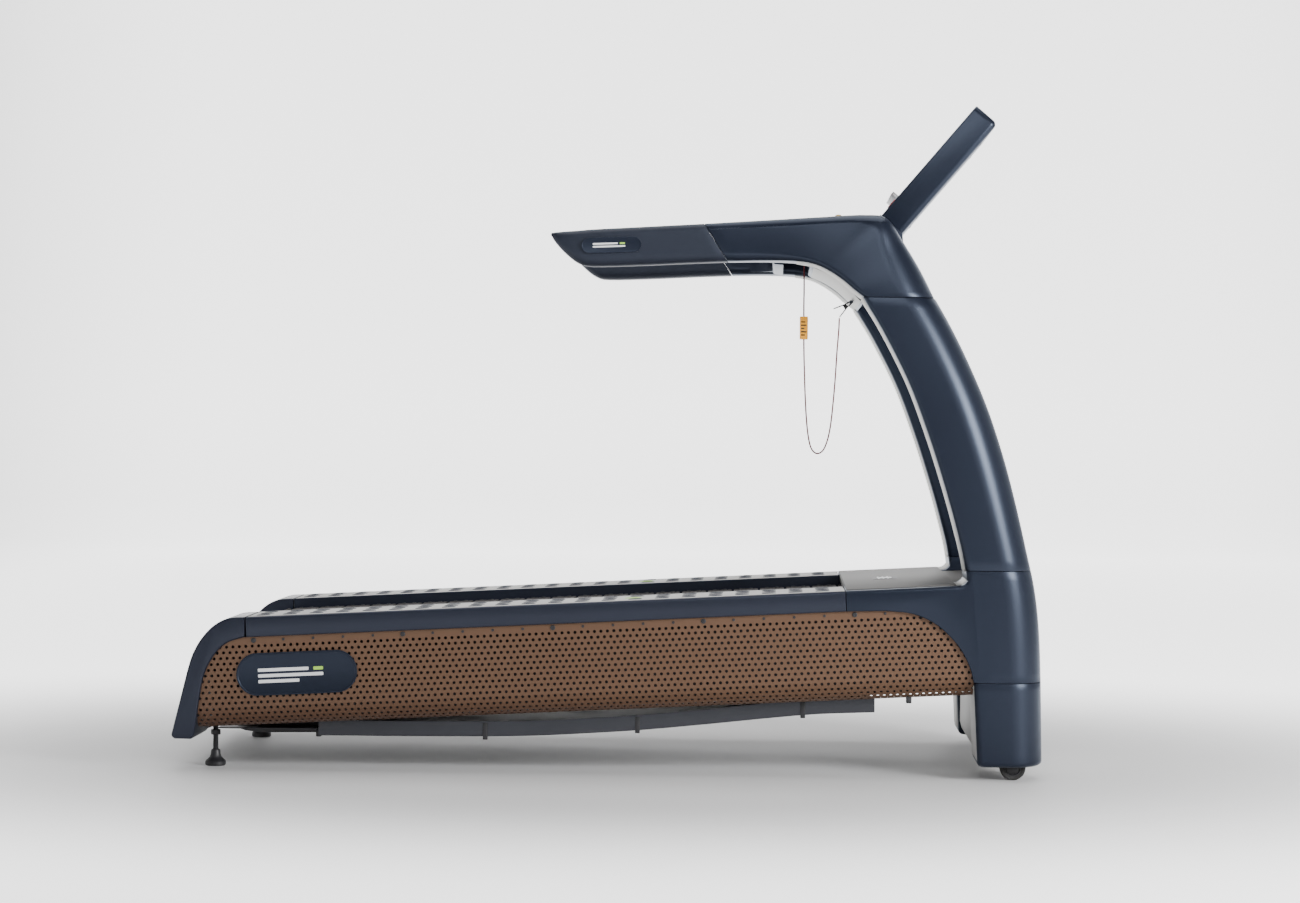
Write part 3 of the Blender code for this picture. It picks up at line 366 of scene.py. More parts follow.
def place_on(tree, scale=(1, 1, 1), turn=(0, 0, 0), shift=(0, 0, 0)):
    """Object coordinates, in metres, stretched, turned or shifted."""
    where = node(tree, "ShaderNodeTexCoord", {}, {}, "Object")
    return node(tree, "ShaderNodeMapping", {},
                {"Vector": where, "Scale": scale, "Rotation": turn, "Location": shift})


def noise(tree, where, scale, detail):
    """Cloudy noise. scale is how many clouds to a metre, and detail is how many finer layers lie on them."""
    return node(tree, "ShaderNodeTexNoise", {},
                {"Vector": where, "Scale": scale, "Detail": detail, "Roughness": 0.55})


def axes(tree, where):
    """The three coordinates of a vector."""
    made = tree.nodes.new("ShaderNodeSeparateXYZ")
    tree.links.new(where.socket, made.inputs[0])
    return [Socket(tree, out) for out in made.outputs]


def bump(tree, height, distance, strength):
    """Relief from a 0 to 1 height. distance is its depth in metres, and strength how much of it shows."""
    return node(tree, "ShaderNodeBump", {}, {"Height": height, "Distance": distance, "Strength": strength})


def finish_of(name, build, **fixed):
    """A Principled material. build returns what varies over the surface, and fixed is the same all over."""
    material = bpy.data.materials.new(name)
    material.use_nodes = True
    tree = material.node_tree
    shader = tree.nodes["Principled BSDF"]
    for socket, value in fixed.items():
        shader.inputs[socket.replace("_", " ")].default_value = value
    for socket, value in build(tree).items():
        target = shader.inputs[socket.replace("_", " ")]
        if isinstance(value, Socket):
            tree.links.new(value.socket, target)
        else:
            target.default_value = (*value, 1.0) if isinstance(value, tuple) else value
    return material


def wear(obj, material):
    """Gives the whole piece one material."""
    obj.data.materials.clear()
    obj.data.materials.append(material)
    return obj


def done(obj, material, slot, body, *nodes):
    """The last step of every piece: its material, its body, and the CAD nodes it stands for. slot is not used."""
    wear(obj, material)
    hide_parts(*nodes)
    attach(obj, body)
    return obj


def pair(obj, twin_name, material, slot, nodes=""):
    """Finishes a left-hand piece of the frame and its mirrored twin. nodes is their CAD nodes' shared name."""
    done(mirrored(obj, twin_name), material, slot, "frame", *[f"{nodes}_right"] * bool(nodes))
    done(obj, material, slot, "frame", *[f"{nodes}_left"] * bool(nodes))


# %% [markdown]
# The shells of the uprights are satin metallic paint on moulded plastic: a dark blue grey whose
# highlights turn pale lavender. Real paint of this kind has very fine flake and a faint orange peel,
# so the colour moves by a few percent and a small bump keeps long highlights from looking drawn.

# %% Painted shells


def satin_paint(tree):
    where = place_on(tree)
    flake = noise(tree, where, 900.0, 1.0)
    cloud = noise(tree, where, 3.0, 2.0)
    peel = noise(tree, where, 260.0, 2.0)
    colour = mix(tree, flake * 0.6 + cloud * 0.4, (0.0062, 0.0080, 0.0155), (0.0110, 0.0140, 0.0260))
    return {
        "Base_Color": colour,
        "Roughness": cloud * 0.08 + 0.30,
        "Normal": bump(tree, peel, 0.00012, 0.35),
    }


NAVY = finish_of("satin_navy", satin_paint, Metallic=0.35, Specular_Tint=(0.70, 0.82, 1.0, 1.0))


# %% [markdown]
# The arm grips are over-moulded with a soft skin: the same colour, but duller, with a fine leather
# grain that a hand feels.

# %% Soft grips


def soft_skin(tree):
    where = place_on(tree)
    cells = node(tree, "ShaderNodeTexVoronoi", {"feature": "DISTANCE_TO_EDGE"},
                 {"Vector": where, "Scale": 650.0})
    cloud = noise(tree, where, 6.0, 3.0)
    colour = mix(tree, cloud, (0.0058, 0.0074, 0.0145), (0.0098, 0.0120, 0.0215))
    return {
        "Base_Color": colour,
        "Roughness": cloud * 0.10 + 0.50,
        "Normal": bump(tree, cells.ramp(0.0, 0.25), 0.00010, 0.5),
    }


GRIP = finish_of("soft_grip", soft_skin, Metallic=0.15, Specular_Tint=(0.76, 0.85, 1.0, 1.0))

# %% [markdown]
# The camera comes before the pieces. It is a long lens, 80 mm on a 36 mm sensor, about seven and a half
# metres away at chest height. It looks a little down and a little to the left, as a catalogue view does.

# %% Camera
YAW, PITCH_DOWN, ROLL = math.radians(2.4908), math.radians(0.7456), math.radians(0.5)
forward = Vector((-math.sin(YAW) * math.cos(PITCH_DOWN), math.cos(YAW) * math.cos(PITCH_DOWN),
                  -math.sin(PITCH_DOWN)))
level_right = forward.cross(Vector((0, 0, 1))).normalized()
level_up = level_right.cross(forward)
right = level_right * math.cos(ROLL) + level_up * math.sin(ROLL)
up = level_up * math.cos(ROLL) - level_right * math.sin(ROLL)
bpy.ops.object.camera_add()
camera = bpy.context.object
camera.name = "camera"
camera.data.lens, camera.data.sensor_width = 80.0, 36.0
turned_to = Matrix((right, up, -forward)).transposed().to_4x4()
camera.matrix_world = Matrix.Translation((0.417, -7.53, 0.893)) @ turned_to
bpy.context.scene.camera = camera
print("camera looks along", forward)

# %% [markdown]
# A free-standing machine in a white bowl: a large pale floor that turns up far away into a round wall, so
# that no horizon shows from any side. Its material has only the faintest cloud in it. It glows a little
# where it is far from the machine, as a lit studio wall does, but not towards the camera or far out to
# the sides. So the near floor still takes a shadow, and the studio's dim end puts no haze on the paint.

# %% Floor
floor = primitive("floor", "circle", vertices=96, radius=11.0, fill_type="NGON")
with editing(floor, "EDGE") as mesh:
    bpy.ops.mesh.select_all(action="SELECT")
    bpy.ops.mesh.region_to_loop()
    for rise, wider in ((0.06, 1.050), (0.24, 1.035), (0.60, 1.025), (7.0, 1.020)):
        bpy.ops.mesh.extrude_region_move(TRANSFORM_OT_translate={"value": (0, 0, rise)})
        bpy.ops.transform.resize(value=(wider, wider, 1.0), center_override=(0, 0, 0))
settle(floor, angle=60)


def studio_white(tree):
    cloud = noise(tree, place_on(tree), 1.5, 2.0)
    where = place_on(tree, (1.0, 1.3, 0.0), (0, 0, 0), (-0.1, 0.0, 0.0))
    far = node(tree, "ShaderNodeVectorMath", {"operation": "LENGTH"}, {0: where}, 1).ramp(1.15, 3.6)
    x, y, _ = axes(tree, place_on(tree))
    behind = y.ramp(-4.2, -1.6) * (1.0 - x.one("ABSOLUTE").ramp(3.2, 7.0) * 0.93)
    return {"Base_Color": mix(tree, cloud, (0.58, 0.58, 0.583), (0.60, 0.60, 0.603)),
            "Roughness": cloud * 0.1 + 0.6,
            "Emission_Color": mix(tree, far * (behind * 0.95 + 0.05), (0.02, 0.02, 0.02), (1.0, 1.0, 1.0))}


wear(floor, finish_of("studio_floor", studio_white, Emission_Strength=2.5))

# %% [markdown]
# Soft light comes from five panels. A very large one overhead lights the floor and the deck. The strong one
# at the front right draws the long highlight down the uprights, and a wide low-powered one over the front
# does the same for the handrails. The front left and the rear ones only lift the edges there. The world is
# nearly black, because the bowl's own glow already fills the shadows.

# %% Lights


def panel_light(name, place, aim, width, height, power):
    bpy.ops.object.light_add(type="AREA", location=place)
    light = bpy.context.object
    light.name = name
    light.data.shape, light.data.size, light.data.size_y, light.data.energy = "RECTANGLE", width, height, power
    light.rotation_euler = (Vector(aim) - Vector(place)).to_track_quat("-Z", "Y").to_euler()
    return light


# name, place, aim, width, height in metres, power in watts
panel_light("overhead", (0.1, 0.3, 3.9), (0.1, 0, 0.3), 4.6, 3.4, 150)
panel_light("front_left", (-3.8, -4.6, 2.6), (0.1, 0, 0.7), 2.2, 2.4, 4)
panel_light("front_high", (0.7, -3.4, 2.60), (0.75, -0.4, 1.5), 2.0, 0.9, 38)
panel_light("front_right", (4.2, -3.4, 1.9), (0.95, -0.3, 1.05), 1.8, 1.6, 370)
panel_light("rear_edge", (2.8, 3.8, 3.0), (0.4, 0, 0.9), 2.5, 2.0, 15)
world = bpy.data.worlds.new("studio_air")
bpy.context.scene.world = world
world.use_nodes = True
air = world.node_tree.nodes["Background"]
air.inputs["Color"].default_value = (1.0, 1.0, 1.0, 1.0)
air.inputs["Strength"].default_value = 0.05

# %% [markdown]
# The safety lanyard is a thin braided cord. One end goes into the magnet key under the dash and the other
# into the clip's eye. It hangs in one long narrow bight. A curve holds its line, and a round bevel gives
# its thickness. The braid is drawn on the curve's own UV, so that it runs along the cord. The light flecks
# on the strands' crowns are a painted highlight.

# %% Safety lanyard
CORD_ROUTE = [(0.4865, 1.2897), (0.4866, 1.266), (0.4870, 1.225), (0.4868, 1.175), (0.4872, 1.120),
              (0.4880, 1.060),
              (0.4900, 1.000), (0.4925, 0.940), (0.4960, 0.885), (0.5010, 0.840), (0.5090, 0.808),
              (0.5230, 0.794),
              (0.5390, 0.801), (0.5510, 0.828), (0.5590, 0.868), (0.5650, 0.925), (0.5700, 0.990),
              (0.5740, 1.060),
              (0.5780, 1.115), (0.5792, 1.1462)]
CORD_DIAMETER = 0.0040
cord_line = curved([(x, 0.0, z) for x, z in CORD_ROUTE], 152)
cord_length = sum((b - a).length for a, b in zip(cord_line, cord_line[1:]))
print("lanyard length", round(cord_length, 4))


def braid(tree):
    where = node(tree, "ShaderNodeUVMap", {}, {})
    along, round_it, _ = axes(tree, where)
    strands, turn = along * 900.0, round_it * 12.566
    one_way, other_way = (strands + turn).one("SINE"), (strands - turn).one("SINE")
    weave = (one_way * other_way * 0.5 + 0.5).clamp()
    # Painted highlight: the crowns of the weave get a lighter colour.
    crown_highlight = (weave > 0.86) * 0.55
    colour = mix(tree, weave, (0.060, 0.004, 0.008), (0.150, 0.010, 0.018))
    return {"Base_Color": mix(tree, crown_highlight, colour, (0.42, 0.20, 0.20)),
            "Normal": bump(tree, weave, 0.0002, 0.6)}


BRAID = finish_of("braided_cord", braid, Roughness=0.85)

curve = bpy.data.curves.new("lanyard", "CURVE")
curve.dimensions = "3D"
spline = curve.splines.new("POLY")
spline.points.add(len(cord_line) - 1)
for point, place in zip(spline.points, cord_line):
    point.co = (*place, 1.0)
curve.bevel_depth = CORD_DIAMETER / 2
curve.bevel_resolution = 3
curve.use_fill_caps = True
lanyard = bpy.data.objects.new("lanyard", curve)
bpy.context.scene.collection.objects.link(lanyard)
lanyard.data.materials.append(BRAID)
alone(lanyard)
bpy.ops.object.convert(target="MESH")
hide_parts("safety_cord")
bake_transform(lanyard)

# %% [markdown]
# The uprights, elbows and handrails are moulded shells. Seen from above, an upright is a long shape with
# tight corners at the back and a wide round nose in front, and that one section runs all the way up and
# over into the handrail. A ring of vertices is placed as the first section and extruded from station to
# station, and each new ring is set on its own section before the next.

# %% Section and sweep helpers


def section(rear, front, y_in, y_out, rear_r, front_r):
    """A closed ring between two points of the side view: a rectangle with elliptical corners."""
    rear, front = Vector(rear), Vector(front)
    along = front - rear
    length, thick = along.length, abs(y_out - y_in)
    along.normalize()
    side = 1 if y_out > y_in else -1
    found = []
    steps = 8
    corners = ((length, 0, front_r, 0), (length, thick, front_r, 90), (0, thick, rear_r, 180),
               (0, 0, rear_r, 270))
    for u, v, r, start in corners:
        across = min(r, thick / 2 * 0.96)
        r = min(r, length / 2 * 0.98)
        cu, cv = (u - r if u else r), (v - across if v else across)
        for i in range(steps + 1):
            t = math.radians(start - 90 + 90 * i / steps)
            a, b = cu + r * math.cos(t), cv + across * math.sin(t)
            found.append((rear.x + along.x * a, y_in + side * b, rear.y + along.y * a))
    return found


def swept(name, rings, capped=False):
    """A ring of vertices extruded along its stations, each new ring being set on its own section."""
    obj = primitive(name, "circle", vertices=len(rings[0]), radius=0.01)
    with editing(obj, "EDGE") as mesh:
        bm = bmesh.from_edit_mesh(mesh)
        bm.verts.ensure_lookup_table()
        for vert, place in zip(list(bm.verts), rings[0]):
            vert.co = place
        bmesh.update_edit_mesh(mesh)
        if capped:
            bpy.ops.mesh.select_all(action="SELECT")
            bpy.ops.mesh.edge_face_add()
        bpy.ops.mesh.select_all(action="SELECT")
        for before, after in zip(rings, rings[1:]):
            bpy.ops.mesh.extrude_region_move(TRANSFORM_OT_translate={"value": (0, 0, 0)})
            bm = bmesh.from_edit_mesh(mesh)
            for vert in [v for v in bm.verts if v.select]:
                nearest = min(range(len(before)), key=lambda i: (vert.co - Vector(before[i])).length_squared)
                vert.co = after[nearest]
            bmesh.update_edit_mesh(mesh)
    return outward(obj)


WALL = 0.004


def shell(name, rings):
    """A swept skin with a wall's thickness and softened rims."""
    obj = swept(name, rings)
    modify(obj, "SOLIDIFY", thickness=WALL, offset=-1.0, use_even_offset=False)
    return modify(obj, "BEVEL", width=0.0012, segments=2, limit_method="ANGLE", angle_limit=math.radians(50))


# %% [markdown]
# Two lines give the upright's back and front at every height. Both are gentle curves through a few
# places, so a section at any height is found from them.

# %% The upright's line


def side_line(points):
    """A function from height to x on a smooth line through (x, z) places."""
    line = curved([(x, 0, z) for x, z in points], 160)

    def at(height):
        for a, b in zip(line, line[1:]):
            if b.z <= height <= a.z:
                return a.x + (b.x - a.x) * (height - a.z) / (b.z - a.z)
        return line[0].x if height > line[0].z else line[-1].x

    return at


post_rear = side_line([(0.627, 1.180), (0.676, 1.100), (0.740, 0.975), (0.788, 0.850), (0.826, 0.735),
                       (0.858, 0.625),
                       (0.884, 0.515), (0.897, 0.380), (0.906, 0.242), (0.917, 0.030)])
post_front = side_line([(0.797, 1.200), (0.846, 1.115), (0.894, 1.018), (0.940, 0.910), (0.980, 0.790),
                        (1.011, 0.675),
                        (1.038, 0.560), (1.058, 0.470), (1.070, 0.370), (1.076, 0.236), (1.080, 0.030)])
POST_IN, POST_OUT = 0.266, 0.460
COLUMN_TOP, SHROUD_TOP, SHROUD_FOOT = 1.1830, 0.5160, 0.2420
SEAM = 0.0007  # half the gap between two shells


def post_ring(height, inset=0.0):
    return section((post_rear(height) + inset, height), (post_front(height) - inset, height), POST_IN + inset,
                   POST_OUT - inset,
                   0.014, 0.088)


def heights(top, bottom, count):
    return [top + (bottom - top) * i / count for i in range(count + 1)]


print("upright at the shroud", round(post_rear(SHROUD_TOP), 4), round(post_front(SHROUD_TOP), 4))

# %% [markdown]
# The columns are the long plain stretch of each upright, between the shroud and the elbow. The left one
# is swept through sections a few centimetres apart, given its wall, and mirrored to make the right one.

# %% Columns
column = shell("column_shell_left", [post_ring(h) for h in heights(COLUMN_TOP - SEAM, SHROUD_TOP + SEAM, 26)])
settle(column)
pair(column, "column_shell_right", NAVY, "navy_shell", "column")

# %% [markdown]
# The elbow turns the upright into the handrail. Its stations lean over more and more, while the section
# narrows from the upright's width to the grip's. The seam to the grip is cut on a slant. A fine groove
# runs along its outer side. It is cut with a thin blade that follows the groove's line, less the same
# sweep drawn in by the groove's depth, so that the groove is equally deep all along.

# %% Elbows
ELBOW = [((0.6275, 1.1838), (0.8045, 1.1838), 0.266, 0.460, 0.014, 0.088),
         ((0.6050, 1.2010), (0.7700, 1.2520), 0.266, 0.458, 0.014, 0.084),
         ((0.5770, 1.2250), (0.7260, 1.3230), 0.266, 0.452, 0.014, 0.070),
         ((0.5460, 1.2460), (0.6860, 1.3780), 0.268, 0.445, 0.014, 0.048),
         ((0.5100, 1.2630), (0.6350, 1.3870), 0.274, 0.436, 0.016, 0.034),
         ((0.4650, 1.2710), (0.5350, 1.3820), 0.284, 0.426, 0.018, 0.026),
         ((0.3900, 1.2730), (0.3850, 1.3730), 0.296, 0.413, 0.022, 0.022),
         ((0.2946, 1.2712), (0.2368, 1.3642), 0.302, 0.404, 0.026, 0.020)]


def station_rings(table, count, inset=0.0):
    """Rings along a smooth run through a table of stations, drawn in by the inset."""
    flat = [(*low, *high, *rest) for low, high, *rest in table]
    columns = [curved([(value, 0, 0) for value in column], count) for column in zip(*flat)]
    found = []
    for row in zip(*[[point.x for point in column] for column in columns]):
        low, high, (y_in, y_out, rear_r, front_r) = Vector(row[0:2]), Vector(row[2:4]), row[4:]
        step = (high - low).normalized() * inset
        found.append(section(low + step, high - step, y_in + inset, y_out - inset, rear_r, front_r))
    return found


elbow = shell("elbow_shell_left", station_rings(ELBOW, 30))
line = side_curve([(0.2515, 1.3482), (0.400, 1.3568), (0.560, 1.3652), (0.640, 1.3678), (0.682, 1.3672)], 16)
GROOVE = 0.0006  # half the groove's width
blade_outline = [(x, z - GROOVE) for x, z in line] + [(x, z + GROOVE) for x, z in reversed(line)]
blade = profile("groove_blade", blade_outline, 0.3700, 0.5000)
cut(blade, swept("groove_depth", station_rings(ELBOW, 30, 0.0011), capped=True))
cut(elbow, blade)
settle(elbow)
pair(elbow, "elbow_shell_right", NAVY, "navy_shell", "elbow")

# %% [markdown]
# The grip is solid: soft skin over a core. It ends in a nose whose underside sweeps up, and the last ring
# is drawn together to a small flat that a small bevel rounds off.

# %% Arm grips
ARM = [((0.2932, 1.2710), (0.2352, 1.3640), 0.302, 0.404, 0.026, 0.020),
       ((0.2000, 1.2670), (0.1600, 1.3600), 0.303, 0.402, 0.028, 0.020),
       ((0.0800, 1.2610), (0.0600, 1.3545), 0.304, 0.400, 0.030, 0.020),
       ((-0.0400, 1.2575), (-0.0400, 1.3490), 0.305, 0.398, 0.030, 0.020),
       ((-0.0760, 1.2650), (-0.0740, 1.3460), 0.306, 0.397, 0.028, 0.020),
       ((-0.1050, 1.2860), (-0.1020, 1.3440), 0.309, 0.394, 0.022, 0.018),
       ((-0.1290, 1.3110), (-0.1260, 1.3420), 0.316, 0.388, 0.012, 0.012),
       ((-0.1450, 1.3330), (-0.1440, 1.3400), 0.330, 0.374, 0.003, 0.003)]
arm = swept("grip_left", station_rings(ARM, 28), capped=True)
with editing(arm, "FACE") as mesh:
    pick(mesh, "faces", lambda c, n: c.x < -0.140 and n.x < -0.8)
    bpy.ops.mesh.delete(type="FACE")
    pick(mesh, "verts", lambda p: p.x < -0.1435)
    bpy.ops.mesh.edge_face_add()
round_off(arm, 0.0011, 2, 60)
settle(arm)
pair(arm, "grip_right", GRIP, "navy_shell", "arm_grip")

# %% [markdown]
# Where the rail meets the upright there is one big moulding: the upright's sleeve, a bar that carries the
# rail's line on, and an arched cheek over the side panel. It is built as a solid from these three, with
# its long edges rounded first, and then hollowed by an inner sweep.

# %% Front shrouds
BAR_END = 0.892
bar_corner = Vector(deck_point(BAR_END - 0.024, 0.0)) + Vector((0.0, 0.024))
fillet = [(bar_corner.x + 0.024 * math.cos(math.radians(t)), bar_corner.y + 0.024 * math.sin(math.radians(t)))
          for t in range(0, -87, -10)]
arch = side_curve([(0.690, 0.4165), (0.755, 0.410), (0.807, 0.388), (0.846, 0.356), (0.877, 0.318),
                   (0.897, 0.276),
                   (0.905, 0.2436)], 24)
bar_start = RAIL_FRONT + SEAM * 1.5
cheek_outline = [deck_point(bar_start, -RAIL_HEIGHT), *arch, (0.940, 0.2436), (0.940, 0.506),
                 (fillet[0][0], 0.506), *fillet,
                 deck_point(bar_start, 0.0)]
cheek = profile("cheek", cheek_outline, POST_IN, POST_OUT)
with editing(cheek, "EDGE") as mesh:
    pick(mesh, "edges", lambda a, b: min(a.y, b.y) > 0.459 and max(a.x, b.x) < 0.90 and min(a.z, b.z) > 0.428)
    bpy.ops.mesh.bevel(offset=0.009, segments=5, profile=0.5, affect="EDGES", clamp_overlap=False)
with editing(cheek, "EDGE") as mesh:
    pick(mesh, "edges", lambda a, b: min(a.y, b.y) > 0.459
         and (max(a.x, b.x) < 0.910 and max(a.z, b.z) < 0.4205))
    bpy.ops.mesh.bevel(offset=0.0022, segments=3, profile=0.5, affect="EDGES", clamp_overlap=False)
under_bar = [deck_point(0.560, -RAIL_HEIGHT), deck_point(0.880, -RAIL_HEIGHT), (0.898, 0.300), (0.898, 0.200),
             (0.560, 0.200)]
cut(cheek, profile("under_bar", under_bar, 0.250, 0.4500))
shroud = swept("shroud_shell_left", [post_ring(h) for h in heights(SHROUD_TOP - SEAM, SHROUD_FOOT + SEAM, 12)],
               capped=True)
cut(shroud, cheek, "UNION")
hollow = swept("hollow", [post_ring(h, 0.004) for h in heights(SHROUD_TOP + 0.03, SHROUD_FOOT - 0.03, 8)],
               capped=True)
cut(shroud, hollow)
round_off(shroud, 0.0008, 2, 60)
settle(shroud, angle=30)
print("shroud faces", len(shroud.data.polygons))
pair(shroud, "shroud_shell_right", NAVY, "navy_shell", "front_shroud")

# %% [markdown]
# The boot closes the upright's foot. Its last rings draw in on a quarter circle, so that the bottom edge
# is round, and a slot lets the transport wheel through.

# %% Boots
EDGE = 0.012
boot_rings = [post_ring(h) for h in heights(SHROUD_FOOT - SEAM, 0.036 + EDGE, 10)]
for turn in (15, 30, 45, 60, 75, 90):
    inset = EDGE * (1 - math.cos(math.radians(turn)))
    boot_rings.append(post_ring(0.036 + EDGE * (1 - math.sin(math.radians(turn))), inset))
boot = swept("boot_shell_left", boot_rings, capped=True)
cut(boot, block("wheel_slot", (0.964, 0.379, 0.0), (1.048, 0.421, 0.060)))
round_off(boot, 0.0008, 2, 60)
settle(boot, angle=30)
pair(boot, "boot_shell_right", NAVY, "navy_shell", "boot")

# %% [markdown]
# A light strip lies along the back of each upright. It starts on the rail, turns up through the fillet,
# climbs the upright and follows the arch under the handrail, where it widens. A small flat section is
# swept along that line.

# %% Light liners


def moulded_light(tree):
    where = place_on(tree)
    cloud = noise(tree, where, 5.0, 3.0)
    grain = noise(tree, where, 420.0, 2.0)
    return {
        "Base_Color": mix(tree, cloud, (0.40, 0.40, 0.385), (0.50, 0.50, 0.485)),
        "Roughness": cloud * 0.12 + 0.42,
        "Normal": bump(tree, grain, 0.00015, 0.35),
    }


LIGHT = finish_of("light_moulding", moulded_light, Metallic=0.3)


def strip(name, path, widths, middles, thick):
    """A flat strip along a line of the side view. It stands out on the line's left, seen from -Y."""
    rings = []
    for i, (x, z) in enumerate(path):
        before, after = Vector(path[max(i - 1, 0)]), Vector(path[min(i + 1, len(path) - 1)])
        tangent = (after - before).normalized()
        nx, nz = -tangent.y, tangent.x
        half, middle = widths[i] / 2, middles[i]
        ring = [(-half, -0.002), (-half, thick * 0.5), (-half + 0.002, thick), (half - 0.002, thick),
                (half, thick * 0.5),
                (half, -0.002)]
        rings.append([(x + nx * lift, middle + y, z + nz * lift) for y, lift in ring])
    obj = swept(name, rings, capped=True)
    return settle(obj, angle=45)


elbow_under = side_curve([low for low, *_ in ELBOW[:6]], 26)
back = [deck_point(0.864, 0.0), *[(x, z) for x, z in reversed(fillet[1:])]]
back += [(post_rear(h), h) for h in heights(0.515, 1.180, 40)]
back += elbow_under
widths, middles = [], []
for x, z in back:
    share = min(max((z - 1.150) / 0.06, 0), 1)
    narrow = 0.124
    inner = 0.266 + (0.018 * min(max((0.60 - x) / 0.14, 0), 1))
    outer = 0.460 - (0.034 * min(max((0.60 - x) / 0.14, 0), 1))
    wide = (outer - inner) - 0.030
    widths.append(narrow + (wide - narrow) * share)
    middles.append((inner + outer) / 2)
liner = strip("liner_left", back, widths, middles, 0.0012)
pair(liner, "liner_right", LIGHT, "silver_plastic")
print("liner stations", len(back))

# %% [markdown]
# A foot rail is an aluminium extrusion: the same section all along, painted, with very fine drawing lines
# along its length. Its outer top edge is round, and two low lips hold the tread strip between them.

# %% Foot rails


def drawn_metal(tree):
    where = place_on(tree, (1.0, 220.0, 220.0))
    lines = noise(tree, where, 3.0, 2.0)
    cloud = noise(tree, place_on(tree), 4.0, 2.0)
    flake = noise(tree, place_on(tree), 900.0, 1.0)
    return {
        "Base_Color": mix(tree, flake * 0.6 + cloud * 0.4, (0.0120, 0.0150, 0.0265), (0.0215, 0.0265, 0.0440)),
        "Roughness": lines * 0.10 + 0.30,
        "Normal": bump(tree, lines, 0.00008, 0.4),
    }


DRAWN = finish_of("drawn_aluminium", drawn_metal, Metallic=0.55)


def along_deck(name, outline, start, end):
    """A (y, z) outline drawn out along the deck from start to end."""
    obj = profile(name, outline, -end, -start)
    return settle(obj, Matrix.Rotation(math.radians(90), 4, "Z"))


rail_outline = [(0.262, -0.050), (0.262, -0.0012), (0.2632, 0.0), (0.2680, 0.0), (0.2692, -0.0036),
                (0.4508, -0.0036),
                (0.4520, 0.0)]
rail_outline += [(0.4525 + 0.0075 * math.sin(math.radians(t)), -0.0075 + 0.0075 * math.cos(math.radians(t)))
                 for t in range(10, 91, 16)]
rail_outline += [(0.460, -0.0460), (0.4590, -0.0490), (0.4560, -0.050)]
rail = along_deck("rail_left", [(-y, z) for y, z in rail_outline][::-1], RAIL_REAR + SEAM, RAIL_FRONT - SEAM)
settle(rail, DECK @ MIRROR_Y, angle=30)
with editing(rail) as mesh:
    bpy.ops.mesh.select_all(action="SELECT")
    bpy.ops.mesh.normals_make_consistent(inside=False)
print("rail box", [round(c, 3) for c in rail.bound_box[0]], [round(c, 3) for c in rail.bound_box[6]])
pair(rail, "rail_right", DRAWN, "rail_aluminium", "foot_rail")

# %% [markdown]
# Each side is closed by a perforated sheet. One cell of it is modelled: a square grid of four faces whose
# middle vertex is bevelled into a twelve-sided hole. Arrays repeat the cell into two staggered rows and
# those rows down the sheet. The flat sheet is then folded at every half row round its lower edge.

# %% Perforated side panels
HOLE_X, HOLE_Z, HOLE_R = 0.016, 0.0139, 0.0039
PANEL_START, PANEL_END = -1.036, 0.930
columns = math.ceil((PANEL_END - PANEL_START) / HOLE_X)
cell = primitive("cell", "grid", x_subdivisions=2, y_subdivisions=2, size=1.0)
cell.scale = (HOLE_X, HOLE_Z, 1.0)
settle(cell)
with editing(cell) as mesh:
    pick(mesh, "verts", lambda p: p.length < 1e-5)
    bpy.ops.mesh.bevel(offset=HOLE_R, segments=3, profile=0.086, affect="VERTICES")
with editing(cell, "FACE") as mesh:
    pick(mesh, "faces", lambda c, n: c.length < HOLE_R)
    bpy.ops.mesh.delete(type="FACE")
print("hole radii", sorted({round(v.co.length, 5) for v in cell.data.vertices})[:4])
print("faces in one cell", len(cell.data.polygons), "columns", columns)
modify(cell, "ARRAY", count=columns, use_relative_offset=False, use_constant_offset=True,
       constant_offset_displace=(HOLE_X, 0, 0), use_merge_vertices=True, merge_threshold=1e-4)
shifted = copy_of(cell, "shifted_row", Matrix.Translation((HOLE_X / 2, -HOLE_Z, 0)))
sheet = join("perforated_left", [cell, shifted])
modify(sheet, "ARRAY", count=8, use_relative_offset=False, use_constant_offset=True,
       constant_offset_displace=(0, -2 * HOLE_Z, 0), use_merge_vertices=True, merge_threshold=1e-4)
outward(sheet)

# The plain band over the holes is drawn up from the top row's edge, and the last one down from the bottom's.
top_edge = HOLE_Z / 2
with editing(sheet, "EDGE") as mesh:
    pick(mesh, "edges", lambda a, b: min(a.y, b.y) > top_edge - 1e-5)
    bpy.ops.mesh.extrude_region_move(TRANSFORM_OT_translate={"value": (0, 0.0155, 0)})
with editing(sheet, "EDGE") as mesh:
    low = -15.5 * HOLE_Z
    pick(mesh, "edges", lambda a, b: max(a.y, b.y) < low + 1e-5)
    bpy.ops.mesh.extrude_region_move(TRANSFORM_OT_translate={"value": (0, -0.004, 0)})

# Stood up: the sheet's own Y becomes height, and its face looks outwards along +Y.
stand = (Matrix.Translation((PANEL_START, PANEL_Y, -0.0508 - 0.0155 - top_edge))
         @ Matrix.Rotation(math.radians(90), 4, "X"))
settle(sheet, stand)
curl_top, curl_r = -0.217, 0.055
rows_low = -0.0508 - 0.0155 - 16 * HOLE_Z
folds = []
height = rows_low
while height < curl_top - 1e-6:
    folds.append(height)
    height += HOLE_Z / 2
with editing(sheet) as mesh:
    for height in folds:
        pick(mesh, "verts", lambda p: p.z < height - 1e-5)
        bpy.ops.transform.rotate(value=HOLE_Z / 2 / curl_r, orient_axis="X", orient_type="GLOBAL",
                                 center_override=(0.0, PANEL_Y, height))
lowest = min(v.co.z for v in sheet.data.vertices)
inmost = min(v.co.y for v in sheet.data.vertices)
print("panel's lower edge", round(lowest, 4), "rolled in to", round(inmost, 4), "folds", len(folds))
